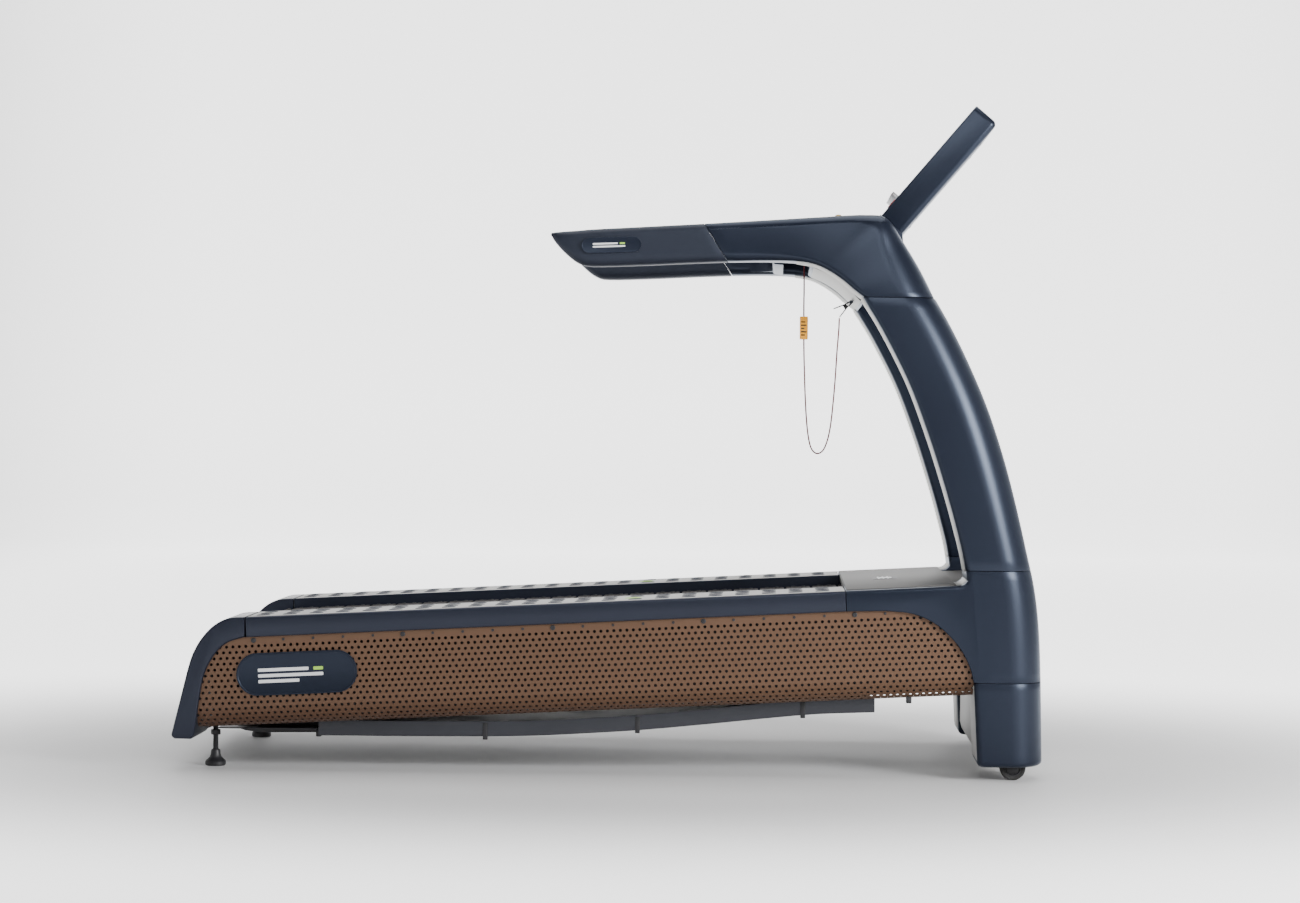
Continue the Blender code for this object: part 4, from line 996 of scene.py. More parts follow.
modify(sheet, "SOLIDIFY", thickness=0.0018, offset=-1.0)
settle(sheet, DECK, angle=40)
for place, normal in (((-1.0235, 0, 0.20), (-0.9945, 0, -0.105)), ((-1.000, 0, 0.296), (-0.84, 0, 0.54)),
                      ((-0.955, 0, 0.3445), (-0.50, 0, 0.866))):
    with editing(sheet) as mesh:
        bpy.ops.mesh.select_all(action="SELECT")
        bpy.ops.mesh.bisect(plane_co=place, plane_no=normal, clear_outer=True, use_fill=False)


def copper_paint(tree):
    where = place_on(tree)
    flake = noise(tree, where, 1100.0, 1.0)
    cloud = noise(tree, where, 2.5, 3.0)
    height = axes(tree, where)[2]
    # Painted shade: the colour turns darker towards the sheet's lower edge, where it curls under.
    painted_low_shade = height.ramp(0.10, 0.22)
    colour = mix(tree, flake * 0.55 + cloud * 0.35, (0.090, 0.046, 0.025), (0.138, 0.074, 0.041))
    return {
        "Base_Color": mix(tree, painted_low_shade, (0.088, 0.042, 0.023), colour),
        "Roughness": cloud * 0.10 + 0.40,
        "Normal": bump(tree, flake, 0.00006, 0.4),
    }


COPPER = finish_of("copper_paint", copper_paint, Metallic=0.35)
print("panel faces", len(sheet.data.polygons))
pair(sheet, "perforated_right", COPPER, "copper_sheet", "side_panel")

# %% [markdown]
# Black screws hold the sheet's plain band under the rail: a large round head every third of a metre, and
# small ones between. A head is a cylinder whose top edge is bevelled, with a hexagonal drive cut into its face.

# %% Screws in the band


def screw_head(name, place, radius, height, matrix=Matrix.Identity(4), sides=20):
    """A round head on +Y with a hexagonal drive."""
    obj = primitive(name, "cylinder", vertices=sides, radius=radius, depth=height,
                    rotation=(math.radians(90), 0, 0))
    alone(obj)
    bpy.ops.object.transform_apply(location=True, rotation=True, scale=True)
    with editing(obj, "EDGE") as mesh:
        pick(mesh, "edges", lambda a, b: min(a.y, b.y) > height / 2 - 1e-5)
        bpy.ops.mesh.bevel(offset=height * 0.45, segments=3, affect="EDGES")
    cut(obj, primitive("drive", "cylinder", vertices=6, radius=radius * 0.46, depth=height,
                       location=(0, height * 0.55, 0), rotation=(math.radians(90), 0, 0)))
    obj.data.transform(matrix @ Matrix.Translation(place))
    return obj


def moulded_black(tree):
    where = place_on(tree)
    grain = noise(tree, where, 500.0, 2.0)
    cloud = noise(tree, where, 8.0, 3.0)
    return {
        "Base_Color": mix(tree, cloud, (0.009, 0.009, 0.011), (0.019, 0.019, 0.022)),
        "Roughness": cloud * 0.18 + 0.38,
        "Normal": bump(tree, grain, 0.00014, 0.35),
    }


BLACK = finish_of("moulded_black", moulded_black)
heads = []
for i in range(24):
    big = i % 5 == 0
    radius, height = (0.0062, 0.0030) if big else (0.0034, 0.0018)
    heads.append(screw_head("head", (-0.872 + i * 0.0742, PANEL_Y + 0.0030, -0.0592), radius, height, DECK))
screws = settle(join("band_screws_left", heads))
pair(screws, "band_screws_right", BLACK, "black_plastic")

# %% [markdown]
# The rear caps carry the rail's band round the corner and down to a blunt toe. The outer side's edges
# have the same roundness as the rail's top.

# %% Rear caps
cap_outer = side_curve([(-0.8885, 0.3832), (-0.930, 0.3795), (-0.965, 0.3615), (-0.995, 0.330), (-1.017, 0.292),
                        (-1.030, 0.252)], 26)
cap_inner = side_curve([(-1.003, 0.165), (-0.990, 0.236), (-0.966, 0.285), (-0.934, 0.3175), (-0.8885, 0.3335)],
                       22)
toe = [(-1.058 + 0.011 * math.cos(math.radians(t)), 0.091 + 0.011 * math.sin(math.radians(t)))
       for t in range(170, 271, 20)]
cap = profile("rear_cap_left_band", [*cap_outer, *toe, (-1.020, 0.080), (-1.012, 0.092), *cap_inner],
              RAIL_INNER, HALF_WIDTH)
with editing(cap, "EDGE") as mesh:
    pick(mesh, "edges", lambda a, b: min(a.y, b.y) > 0.459 and min(a.x, b.x) < -0.8886)
    bpy.ops.mesh.bevel(offset=0.0055, segments=5, profile=0.5, affect="EDGES", clamp_overlap=True)
with editing(cap, "EDGE") as mesh:
    pick(mesh, "edges", lambda a, b: max(a.y, b.y) < 0.263 and min(a.x, b.x) < -0.8886)
    bpy.ops.mesh.bevel(offset=0.0030, segments=3, profile=0.5, affect="EDGES", clamp_overlap=True)
settle(cap, angle=30)
pair(cap, "rear_cap_right_band", DRAWN, "navy_shell", "rear_cap")

# %% [markdown]
# A standing strip lies in each rail: pale textured rubber, with dark oval studs every 66 mm and, in the
# middle of the machine, a green oval that marks where to stand. A stud is a disc, drawn up and inset.

# %% Tread strips


def pale_rubber(tree):
    where = place_on(tree)
    grain = noise(tree, where, 700.0, 2.0)
    cloud = noise(tree, where, 4.0, 4.0)
    scuff = noise(tree, place_on(tree, (1.2, 9.0, 1.0)), 6.0, 5.0).ramp(0.56, 0.72)
    colour = mix(tree, cloud, (0.44, 0.435, 0.425), (0.54, 0.535, 0.52))
    return {
        "Base_Color": mix(tree, scuff * 0.25, colour, (0.32, 0.315, 0.305)),
        "Roughness": cloud * 0.12 + 0.62,
        "Normal": bump(tree, grain, 0.00022, 0.5),
    }


PALE = finish_of("pale_rubber", pale_rubber)


def stud(name, x, y, length, width, rise):
    """A low oval stud whose top is drawn in twice, so that it is domed."""
    obj = primitive(name, "circle", vertices=18, radius=1.0, fill_type="NGON", location=(0, 0, 0))
    obj.scale = (length / 2, width / 2, 1.0)
    settle(obj)
    with editing(obj, "FACE"):
        bpy.ops.mesh.select_all(action="SELECT")
        for up_by, scale in ((rise * 0.6, 0.90), (rise * 0.3, 0.72), (rise * 0.1, 0.5)):
            bpy.ops.mesh.extrude_region_move(TRANSFORM_OT_translate={"value": (0, 0, up_by)})
            bpy.ops.transform.resize(value=(scale, scale, 1.0), center_override=(0, 0, 0))
    obj.data.transform(Matrix.Translation((x, y, -0.0002)))
    return obj


TREAD_Y = 0.3606
tread = block("tread_left", (RAIL_REAR + 0.003, 0.2696, -0.0034), (RAIL_FRONT - 0.003, 0.4504, 0.0), 0.0010, 2)
studs = [stud("stud", -0.850 + i * 0.066, TREAD_Y + y, 0.037, 0.0165, 0.0024) for i in range(22)
         for y in (-0.055, 0.0, 0.055)
         if not (abs(-0.850 + i * 0.066 - 0.066) < 0.03 and y == 0.0)]
for piece, finish, nodes in ((settle(tread, DECK), PALE, ("tread_strip",)),
                             (settle(join("tread_studs_left", studs), DECK), GRIP, ())):
    done(mirrored(piece, piece.name.replace("left", "right")), finish, "pale_grip", "frame",
         *[n + "_right" for n in nodes])
    done(piece, finish, "pale_grip", "frame", *[n + "_left" for n in nodes])


def marker_green(tree):
    cloud = noise(tree, place_on(tree), 40.0, 3.0)
    return {"Base_Color": mix(tree, cloud, (0.30, 0.56, 0.05), (0.38, 0.66, 0.08)),
            "Roughness": cloud * 0.2 + 0.45,
            "Normal": bump(tree, noise(tree, place_on(tree), 600.0, 2.0), 0.0001, 0.4)}


MARKER = finish_of("marker_green", marker_green)
marker = settle(stud("stand_marker_left", 0.066, TREAD_Y, 0.044, 0.024, 0.0016), DECK)
pair(marker, "stand_marker_right", MARKER, "start_green")

# %% [markdown]
# A black sheet hangs behind each perforated sheet as painted shade: it keeps the inside black. It stops above
# the sheet's lowest holes, so light comes through those, and its lower edge is turned in.

# %% Shade sheets
# Painted shade: a black sheet stands for the shade inside the deck.
guard = block("dust_guard_left", (-0.992, 0.392, -0.2585), (0.895, 0.3935, -0.056))
with editing(guard, "EDGE") as mesh:
    pick(mesh, "edges", lambda a, b: max(a.z, b.z) < -0.2575 and min(a.y, b.y) > 0.393)
    bpy.ops.mesh.bevel(offset=0.0007, segments=2, affect="EDGES")
with editing(guard, "FACE") as mesh:
    pick(mesh, "faces", lambda c, n: n.z < -0.9)
    bpy.ops.mesh.extrude_region_move(TRANSFORM_OT_translate={"value": (0, -0.004, -0.004)})
settle(guard, DECK)
with editing(guard) as mesh:
    bpy.ops.mesh.select_all(action="SELECT")
    bpy.ops.mesh.bisect(plane_co=(-0.985, 0, 0.236), plane_no=(-0.983, 0, 0.18), clear_outer=True,
                        use_fill=True)
with editing(guard) as mesh:
    bpy.ops.mesh.select_all(action="SELECT")
    bpy.ops.mesh.bisect(plane_co=(-0.960, 0, 0.295), plane_no=(-0.72, 0, 0.69), clear_outer=True, use_fill=True)
pair(guard, "dust_guard_right", BLACK, "black_plastic")

# %% [markdown]
# The running belt is made of slats: rubber bars with shallow grooves, each bolted at both ends to two
# toothed carrier belts. One slat is drawn as a side view and pulled across the machine. Each place
# gets a copy: straight runs above and below, and a fan round each drum.

# %% One slat


def slat_rubber(tree):
    where = place_on(tree)
    grain = noise(tree, where, 800.0, 2.0)
    worn = noise(tree, place_on(tree, (6.0, 1.5, 1.0)), 5.0, 5.0).ramp(0.50, 0.78)
    cloud = noise(tree, where, 9.0, 3.0)
    colour = mix(tree, cloud, (0.018, 0.016, 0.016), (0.034, 0.030, 0.029))
    return {
        "Base_Color": mix(tree, worn * 0.5, colour, (0.075, 0.068, 0.064)),
        "Roughness": 0.78 - worn * 0.14,
        "Normal": bump(tree, grain, 0.0003, 0.6),
    }


SLAT = finish_of("slat_rubber", slat_rubber)


def zinc(tree):
    where = place_on(tree)
    cloud = noise(tree, where, 14.0, 4.0)
    return {"Base_Color": mix(tree, cloud, (0.30, 0.31, 0.33), (0.46, 0.47, 0.49)),
            "Roughness": cloud * 0.22 + 0.24,
            "Normal": bump(tree, noise(tree, where, 300.0, 3.0), 0.00006, 0.3)}


STEEL = finish_of("bright_steel", zinc, Metallic=1.0)

SLAT_HALF, SLAT_REACH, SLAT_TOP, SLAT_UNDER, CARRIER_UNDER = 0.033, 0.248, -0.025, -0.037, -0.045
groove, ridge_low = 0.0016, SLAT_TOP - 0.0012
slat_outline = [(-SLAT_HALF, SLAT_UNDER + 0.001), (-SLAT_HALF, SLAT_TOP - 0.0035),
                (-SLAT_HALF + 0.0012, SLAT_TOP - 0.0012),
                (-SLAT_HALF + 0.0035, SLAT_TOP)]
for i in range(5):
    x = -0.020 + i * 0.010
    slat_outline += [(x - groove, SLAT_TOP), (x - groove * 0.4, ridge_low), (x + groove * 0.4, ridge_low),
                     (x + groove, SLAT_TOP)]
slat_outline += [(SLAT_HALF - 0.0035, SLAT_TOP), (SLAT_HALF - 0.0012, SLAT_TOP - 0.0012),
                 (SLAT_HALF, SLAT_TOP - 0.0035),
                 (SLAT_HALF, SLAT_UNDER + 0.001), (SLAT_HALF - 0.001, SLAT_UNDER),
                 (-SLAT_HALF + 0.001, SLAT_UNDER)]
slat = profile("slat", slat_outline, -SLAT_REACH, SLAT_REACH)
with editing(slat, "EDGE") as mesh:
    pick(mesh, "edges", lambda a, b: abs(a.y - b.y) < 1e-6 and min(a.z, b.z) > SLAT_TOP - 1e-5)
    bpy.ops.mesh.bevel(offset=0.0012, segments=2, affect="EDGES", clamp_overlap=True)
foot_blocks = [block("slat_foot", (-0.010, side * 0.2175 - 0.0155, CARRIER_UNDER + 0.0055),
                     (0.010, side * 0.2175 + 0.0155, SLAT_UNDER + 0.001),
                     0.001, 1) for _, side in SIDES]
slat = join("slat", [slat, *foot_blocks])
up_turn = Matrix.Rotation(math.radians(90), 4, "X")
bolt = screw_head("bolt", (0, 0, 0), 0.0052, 0.0022, up_turn, 12)
bolts = join("slat_bolts", [copy_of(bolt, "bolt_copy",
                                    Matrix.Translation((x, side * 0.2365, SLAT_TOP + 0.0007)))
                            for x in (-0.014, 0.014) for _, side in SIDES])
bpy.data.objects.remove(bolt)
print("faces in one slat", len(slat.data.polygons), "and its bolts", len(bolts.data.polygons))

# %% [markdown]
# Half of the slats' places lie on the two straight runs, which are the same row turned over about the
# line through the drums' axles. The rest lie in two fans of four, one round each drum. Each stretch of the
# belt rides on its own body, and its toothed carrier bands are drawn as one closed side view.

# %% Belt runs and wraps
SPAN = FRONT_DRUM_X - REAR_DRUM_X
MIDDLE = (FRONT_DRUM_X + REAR_DRUM_X) / 2
RUN = [Matrix.Translation((MIDDLE + (i - 11.5) * PITCH, 0, 0)) for i in range(24)]
turn_over = (Matrix.Translation((MIDDLE, 0, 2 * DRUM_DROP)) @ Matrix.Rotation(math.pi, 4, "Y")
             @ Matrix.Translation((-MIDDLE, 0, 0)))
STEP = PITCH / BELT_R
LEAD = (PITCH * 23 - SPAN) / 2 / BELT_R + STEP


def wrap_places(drum_x, first):
    return [Matrix.Translation((drum_x, 0, DRUM_DROP)) @ Matrix.Rotation(first + LEAD + i * STEP, 4, "Y")
            @ Matrix.Translation((0, 0, -DRUM_DROP)) for i in range(4)]


def carrier(name, points):
    """A toothed belt's two bands, as a closed side view pulled across each."""
    bands = []
    for side, sign in SIDES:
        low, high = sorted((sign * 0.200, sign * 0.235))
        bands.append(profile(f"{name}_{side}", points, low, high))
    return join(name, bands)


def run_carrier(name):
    low, high = MIDDLE - SPAN / 2 + 0.0004, MIDDLE + SPAN / 2 - 0.0004
    points = [(low, SLAT_UNDER - 0.0005), (high, SLAT_UNDER - 0.0005)]
    count = round(SPAN / 0.0140)
    step = (high - low) / count
    for i in range(count):
        x = high - i * step
        points += [(x, CARRIER_UNDER + 0.0022), (x - step * 0.30, CARRIER_UNDER + 0.0022),
                   (x - step * 0.38, CARRIER_UNDER),
                   (x - step * 0.92, CARRIER_UNDER)]
    points.append((low, CARRIER_UNDER + 0.0022))
    return carrier(name, points)


def wrap_carrier(name, drum_x, first):
    outer_r, inner_r = -DRUM_DROP + SLAT_UNDER - 0.0005, -DRUM_DROP + CARRIER_UNDER + 0.0008
    points = []
    for r, order in ((outer_r, range(0, 181, 5)), (inner_r, range(180, -1, -5))):
        for degree in order:
            t = math.radians(min(max(degree, 0.35), 179.65)) + first
            points.append((drum_x + r * math.sin(t), DRUM_DROP + r * math.cos(t)))
    return carrier(name, points)


def rubber(tree):
    where = place_on(tree)
    cloud = noise(tree, where, 12.0, 3.0)
    return {"Base_Color": mix(tree, cloud, (0.010, 0.010, 0.010), (0.024, 0.023, 0.022)),
            "Roughness": cloud * 0.15 + 0.70,
            "Normal": bump(tree, noise(tree, where, 600.0, 2.0), 0.0002, 0.5)}


RUBBER = finish_of("black_rubber", rubber)

for body, node_name, places, band in (
    ("belt_top_run", "slats_top", RUN, lambda: run_carrier("carrier_top")),
    ("belt_return_run", "slats_return", [turn_over @ m for m in RUN],
     lambda: copy_of(run_carrier("carrier_under"), "carrier_return", turn_over)),
    ("front_drum_unit", "slats_front", wrap_places(FRONT_DRUM_X, 0.0),
     lambda: wrap_carrier("carrier_front", FRONT_DRUM_X, 0.0)),
    ("rear_drum_unit", "slats_rear", wrap_places(REAR_DRUM_X, math.pi),
     lambda: wrap_carrier("carrier_rear", REAR_DRUM_X, math.pi)),
):
    bars = join(f"bars_{node_name}", [copy_of(slat, "slat_copy", m) for m in places])
    done(settle(bars, DECK, 30), SLAT, "slat_rubber", body, node_name)
    heads = join(f"bolts_{node_name}", [copy_of(bolts, "bolts_copy", m) for m in places])
    done(settle(heads, DECK, 30), BLACK, "black_plastic", body)
    done(settle(band(), DECK, 30), RUBBER, "rubber", body)
for spare in (slat, bolts, bpy.data.objects["carrier_under"]):
    bpy.data.objects.remove(spare)
print("slats placed", 2 * len(RUN) + 8)

# %% [markdown]
# The hood between the uprights goes on from the rails' top and rolls down in front. It is brushed metal
# sheet, warm grey, over a dark gasket. A thin plate lies over the bars on both sides as well, so the
# whole step-off area is one surface, and the rolled nose under it is narrower.

# %% Hood


def brushed_warm(tree):
    lines = noise(tree, place_on(tree, (2.0, 260.0, 20.0)), 4.0, 3.0)
    cloud = noise(tree, place_on(tree), 3.0, 3.0)
    across = axes(tree, place_on(tree))[1]
    # Painted dark reflection: the colour turns darker towards both sides, where the dark uprights stand.
    edge = across.one("ABSOLUTE").ramp(0.18, 0.30)
    colour = mix(tree, lines * 0.7 + cloud * 0.3, (0.085, 0.083, 0.079), (0.15, 0.146, 0.140))
    return {
        "Base_Color": mix(tree, edge * 0.35, colour, (0.075, 0.073, 0.071)),
        "Roughness": lines * 0.14 + 0.48,
        "Normal": bump(tree, lines, 0.00010, 0.45),
    }


HOOD = finish_of("brushed_hood", brushed_warm, Metallic=0.65)
crown = deck_point(0.968, -0.002)
nose_centre = Vector((crown[0], crown[1] - 0.070))


def nose_arc(radius, start, end):
    """Fifteen places on a circle about the nose's centre, between two angles in degrees."""
    turns = [math.radians(start + (end - start) * i / 14) for i in range(15)]
    return [(nose_centre.x + radius * math.cos(t), nose_centre.y + radius * math.sin(t)) for t in turns]


hood_outline = [deck_point(RAIL_FRONT + 0.0012, -0.0012), *nose_arc(0.0708, 88, 8), *nose_arc(0.0678, 8, 88),
                deck_point(RAIL_FRONT + 0.0042, -0.005), deck_point(RAIL_FRONT + 0.0042, -0.018),
                deck_point(RAIL_FRONT + 0.0012, -0.018)]
hood = round_off(profile("hood_nose", hood_outline, -0.2650, 0.2650), 0.0008, 2, 50)
done(settle(hood), HOOD, "pale_grip", "frame", "front_hood")
gasket = block("hood_gasket", (0.5945, -0.4330, -0.0004), (0.8655, 0.4330, 0.0009), 0.0006, 2)
done(settle(gasket, DECK), RUBBER, "rubber", "frame")
plate = block("hood_plate", (0.5952, -0.4285, 0.0006), (0.8640, 0.4285, 0.0022))
with editing(plate, "EDGE") as mesh:
    pick(mesh, "edges", lambda a, b: min(a.x, b.x) > 0.86 and abs(a.y) > 0.42 and abs(a.z - b.z) > 0.001)
    bpy.ops.mesh.bevel(offset=0.012, segments=5, affect="EDGES")
with editing(plate, "EDGE") as mesh:
    pick(mesh, "edges", lambda a, b: min(a.z, b.z) > 0.0021)
    bpy.ops.mesh.bevel(offset=0.0005, segments=2, affect="EDGES")
done(settle(plate, DECK), HOOD, "pale_grip", "frame")

# %% [markdown]
# A dark label sits in the middle of the hood. It is a plain plate with a light square and a few bars,
# which stand for nothing.

# %% Hood label and badges


def label_white(tree):
    cloud = noise(tree, place_on(tree), 60.0, 3.0)
    return {"Base_Color": mix(tree, cloud, (0.66, 0.67, 0.68), (0.76, 0.77, 0.78)),
            "Roughness": cloud * 0.2 + 0.30}


WHITE = finish_of("label_white", label_white)


def decal(name, boxes, matrix):
    """Small raised bars with rounded corners."""
    bars = []
    for low, high in boxes:
        bars.append(block("bar", low, high, min(high[0] - low[0], high[1] - low[1]) * 0.22, 2,
                          standing))
    return settle(join(name, bars), matrix)


label = block("hood_label", (0.672, -0.060, 0.0019), (0.735, 0.060, 0.0027), 0.003, 3, standing)
done(settle(label, DECK), BLACK, "black_plastic", "frame")
label_bars = [((0.684, -0.022, 0.0025), (0.722, 0.022, 0.0030))]
label_bars += [((0.686 + i * 0.012, side * 0.040 - 0.008, 0.0025),
                (0.690 + i * 0.012, side * 0.040 + 0.008, 0.0030))
               for i in range(3) for _, side in SIDES]
done(decal("hood_label_bars", label_bars, DECK), WHITE, "silver_plastic", "frame")


def pill(name, length, height, thick, bevel):
    """A plate with round ends, lying in XY with its face at +Z, and a raised rim round it."""
    obj = primitive(name, "circle", vertices=48, radius=height / 2, fill_type="NGON")
    with editing(obj) as mesh:
        for side in (-1, 1):
            pick(mesh, "verts", lambda p: p.x * side > 1e-5)
            bpy.ops.transform.translate(value=(side * (length - height) / 2, 0, 0))
    with editing(obj, "FACE") as mesh:
        bpy.ops.mesh.select_all(action="SELECT")
        bpy.ops.mesh.normals_make_consistent(inside=False)
        bpy.ops.mesh.extrude_region_move(TRANSFORM_OT_translate={"value": (0, 0, thick)})
        pick(mesh, "faces", lambda c, n: c.z > thick - 1e-6)
        bpy.ops.mesh.inset(thickness=bevel * 1.6, depth=0)
        bpy.ops.mesh.inset(thickness=bevel * 0.5, depth=-bevel * 0.6)
    outward(obj)
    return round_off(obj, bevel * 0.3, 2, 40)


# A badge's own X runs to the rear on the machine's right side, so that the plate faces outwards.
face_right = Matrix.Rotation(math.radians(90), 4, "X")
badge_at = DECK @ Matrix.Translation((-0.768, -PANEL_Y - 0.0014, -0.1435)) @ face_right
badge_bars = [((-0.096, 0.006, 0.0034), (0.030, 0.014, 0.0046)),
              ((-0.096, -0.008, 0.0034), (0.066, 0.000, 0.0046)),
              ((-0.096, -0.022, 0.0034), (0.006, -0.014, 0.0046))]
green_bar = [((0.042, 0.006, 0.0034), (0.066, 0.014, 0.0046))]
arm_at = (Matrix.Translation((0.007, -0.4012, 1.3095)) @ Matrix.Rotation(math.radians(-2.1), 4, "Y")
          @ face_right)
arm_bars = [((-0.046, 0.0015, 0.0012), (0.016, 0.0055, 0.0018)),
            ((-0.046, -0.0055, 0.0012), (0.034, -0.0015, 0.0018))]
for kind, matrix, size, bars, green in (
    ("badge", badge_at, (0.300, 0.106, 0.0050, 0.0022), badge_bars, green_bar),
    ("arm_badge", arm_at, (0.148, 0.039, 0.0020, 0.0010), arm_bars,
     [((0.021, 0.0015, 0.0012), (0.034, 0.0055, 0.0018))]),
):
    plate_piece = settle(pill(f"{kind}_right", *size), matrix)
    bars_piece = decal(f"{kind}_bars_right", bars, matrix)
    green_piece = decal(f"{kind}_green_right", green, matrix)
    for piece, finish, slot in ((plate_piece, NAVY, "navy_shell"), (bars_piece, WHITE, "silver_plastic"),
                                (green_piece, MARKER, "start_green")):
        nodes = ("side_badge_right",) if (kind == "badge" and piece is plate_piece) else ()
        twin = mirrored(piece, piece.name.replace("right", "left"))
        done(piece, finish, slot, "frame", *nodes)
        done(twin, finish, slot, "frame", *[n.replace("right", "left") for n in nodes])

# %% [markdown]
# The dash is the cross piece between the elbows. Its underside follows the arch and has a bay for the
# magnet key. Two fillets as big as a fist carry its rear face into the handrails. The arch's skin is
# light, like the liners.

# %% Dash
CONSOLE_TILT, CONSOLE_BASE = math.radians(49.6), (0.7035, 1.3735)
CONSOLE_LENGTH, CONSOLE_HALF, CONSOLE_THICK, BAY_TOP = 0.364, 0.255, 0.070, 1.3045
SLAB = Matrix.Translation((CONSOLE_BASE[0], 0, CONSOLE_BASE[1])) @ Matrix.Rotation(-CONSOLE_TILT, 4, "Y")


def slab_point(along, across):
    placed = SLAB @ Vector((along, 0, across))
    return placed.x, placed.z


under = side_curve([(0.6330, 1.1745), (0.6080, 1.1990), (0.5770, 1.2270), (0.5430, 1.2490), (0.5080, 1.2640)],
                   20)
dash_outline = [(0.5080, 1.2640), (0.4995, 1.2700), (0.4995, BAY_TOP), (0.4320, BAY_TOP), (0.4320, 1.2700),
                (0.4180, 1.2712)]
dash_outline += [(0.4145 - 0.010 * math.sin(math.radians(t)), 1.2812 - 0.010 * math.cos(math.radians(t)))
                 for t in (20, 45, 70, 90)]
dash_outline += [(0.4165 - 0.012 * math.cos(math.radians(t)), 1.3560 + 0.012 * math.sin(math.radians(t)))
                 for t in (0, 25, 50, 75)]
dash_outline += [(0.6500, 1.3870), (0.6760, 1.3925), slab_point(-0.001, CONSOLE_THICK / 2 + 0.004),
                 slab_point(-0.001, -CONSOLE_THICK / 2), (0.7350, 1.3000), (0.7200, 1.2300), (0.6600, 1.1980),
                 (0.6350, 1.1765)]
dash_outline += under[:-1]
dash = profile("dash_body", dash_outline, -0.2650, 0.2650)
cut(dash, block("key_bay_walls", (0.4324, -0.2600, 1.2600), (0.4991, 0.2600, BAY_TOP - 0.0002), 0.004, 3,
                standing))
tab = [(0.6098 + 0.797 * u - 0.604 * n, 1.1885 + 0.604 * u + 0.797 * n) for u, n in
       ((-0.0060, -0.0015), (0.0200, -0.0015), (0.0200, 0.0015), (-0.0060, 0.0015))]
cut(dash, profile("clip_tab", tab, -0.020, 0.020), "UNION")
for _, side in SIDES:
    low, high = sorted((side * 0.2350, side * 0.2990))
    corner = block("corner", (0.3420, low, 1.2795), (0.4150, high, 1.3630))
    cut(corner, primitive("round", "cylinder", vertices=96, radius=0.060, depth=0.2,
                          location=(0.3440, side * 0.2365, 1.32)))
    with editing(corner) as mesh:
        bpy.ops.mesh.select_all(action="SELECT")
        bpy.ops.mesh.bisect(plane_co=(0.4, 0, 1.3655), plane_no=(-0.030, 0, 1.0), clear_outer=True,
                            use_fill=True)
    cut(dash, corner, "UNION")
round_off(dash, 0.0016, 3, 50)
done(settle(dash), NAVY, "navy_shell", "frame", "dash")
arch_skin = strip("arch_skin", list(under)[1:], [0.520] * (len(under) - 1), [0.0] * (len(under) - 1), 0.0008)
done(arch_skin, LIGHT, "silver_plastic", "frame")
bay = block("key_bay_lining", (0.4335, -0.060, BAY_TOP - 0.0030), (0.4980, 0.060, BAY_TOP - 0.0004), 0.001, 2)
done(settle(bay), BLACK, "black_plastic", "frame")

# %% [markdown]
# The console is a slab with a sunk screen. It is shaped lying down, with X up the slab and Z towards the
# runner, and then stood up with one matrix. Its back has a screwed cover with slots for air.

# %% Console housing
HALF = CONSOLE_THICK / 2
housing = block("console_body", (0.0, -CONSOLE_HALF, -HALF), (CONSOLE_LENGTH, CONSOLE_HALF, HALF), 0.016, 5,
                lambda a, b: abs(a.z - b.z) > 0.01 and min(a.x, b.x) > 0.1)
with editing(housing, "EDGE") as mesh:
    pick(mesh, "edges", lambda a, b: max(a.z, b.z) < -HALF + 1e-5 and max(a.x, b.x) > 0.01)
    bpy.ops.mesh.bevel(offset=0.014, segments=5, affect="EDGES")
with editing(housing, "EDGE") as mesh:
    pick(mesh, "edges", lambda a, b: min(a.z, b.z) > HALF - 1e-5 and max(a.x, b.x) > 0.01)
    bpy.ops.mesh.bevel(offset=0.003, segments=3, affect="EDGES")
cut(housing, block("screen_well", (0.0750, -0.2350, HALF - 0.0030),
                   (CONSOLE_LENGTH - 0.012, 0.2350, HALF + 0.01), 0.008, 4,
                   standing))
for y in (-0.185, 0.185):
    cut(housing, block("button_well", (0.0300, y - 0.0170, HALF - 0.006), (0.0580, y + 0.0170, HALF + 0.01),
                       0.004, 3,
                       standing))
panel_line = block("back_line", (0.045, -0.205, -HALF - 0.01), (0.318, 0.205, -HALF + 0.0012), 0.014, 4,
                   standing)
cut(panel_line, block("back_core", (0.0475, -0.2025, -HALF - 0.02), (0.3155, 0.2025, HALF), 0.012, 4,
                      standing))
cut(housing, panel_line)
slots = []
for row in range(2):
    for i in range(9):
        y = -0.080 + i * 0.020
        slots.append(block("slot", (0.236 + row * 0.030, y - 0.0030, -HALF - 0.01),
                           (0.256 + row * 0.030, y + 0.0030, -HALF + 0.004),
                           0.0028, 3, standing))
cut(housing, join("slots", slots))
round_off(housing, 0.0007, 2, 60)
done(settle(housing, SLAB), NAVY, "navy_shell", "frame", "console_housing")
down_turn = Matrix.Rotation(math.radians(-90), 4, "X")
cover_screw = screw_head("cover_screw", (0, 0, 0), 0.0042, 0.0018)
cover_screws = join("cover_screws", [copy_of(cover_screw, "screw_copy",
                                             Matrix.Translation((x, y, -HALF - 0.0002)) @ down_turn)
                                     for x in (0.060, 0.303) for y in (-0.188, 0.188)])
bpy.data.objects.remove(cover_screw)
done(settle(cover_screws, SLAB), BLACK, "black_plastic", "frame")

# %% [markdown]
# The screen's glass is nearly black, with a light haze of finger marks. Round it, behind the glass, lies a
# printed border.

# %% Screen


def screen_glass(tree):
    where = place_on(tree)
    smear = noise(tree, place_on(tree, (4.0, 9.0, 4.0), (0, 0, 0.5)), 4.0, 6.0).ramp(0.45, 0.75)
    fine = noise(tree, where, 60.0, 4.0)
    return {"Base_Color": mix(tree, fine, (0.0045, 0.0050, 0.0065), (0.0085, 0.0095, 0.0115)),
            "Roughness": smear * 0.14 + 0.05}


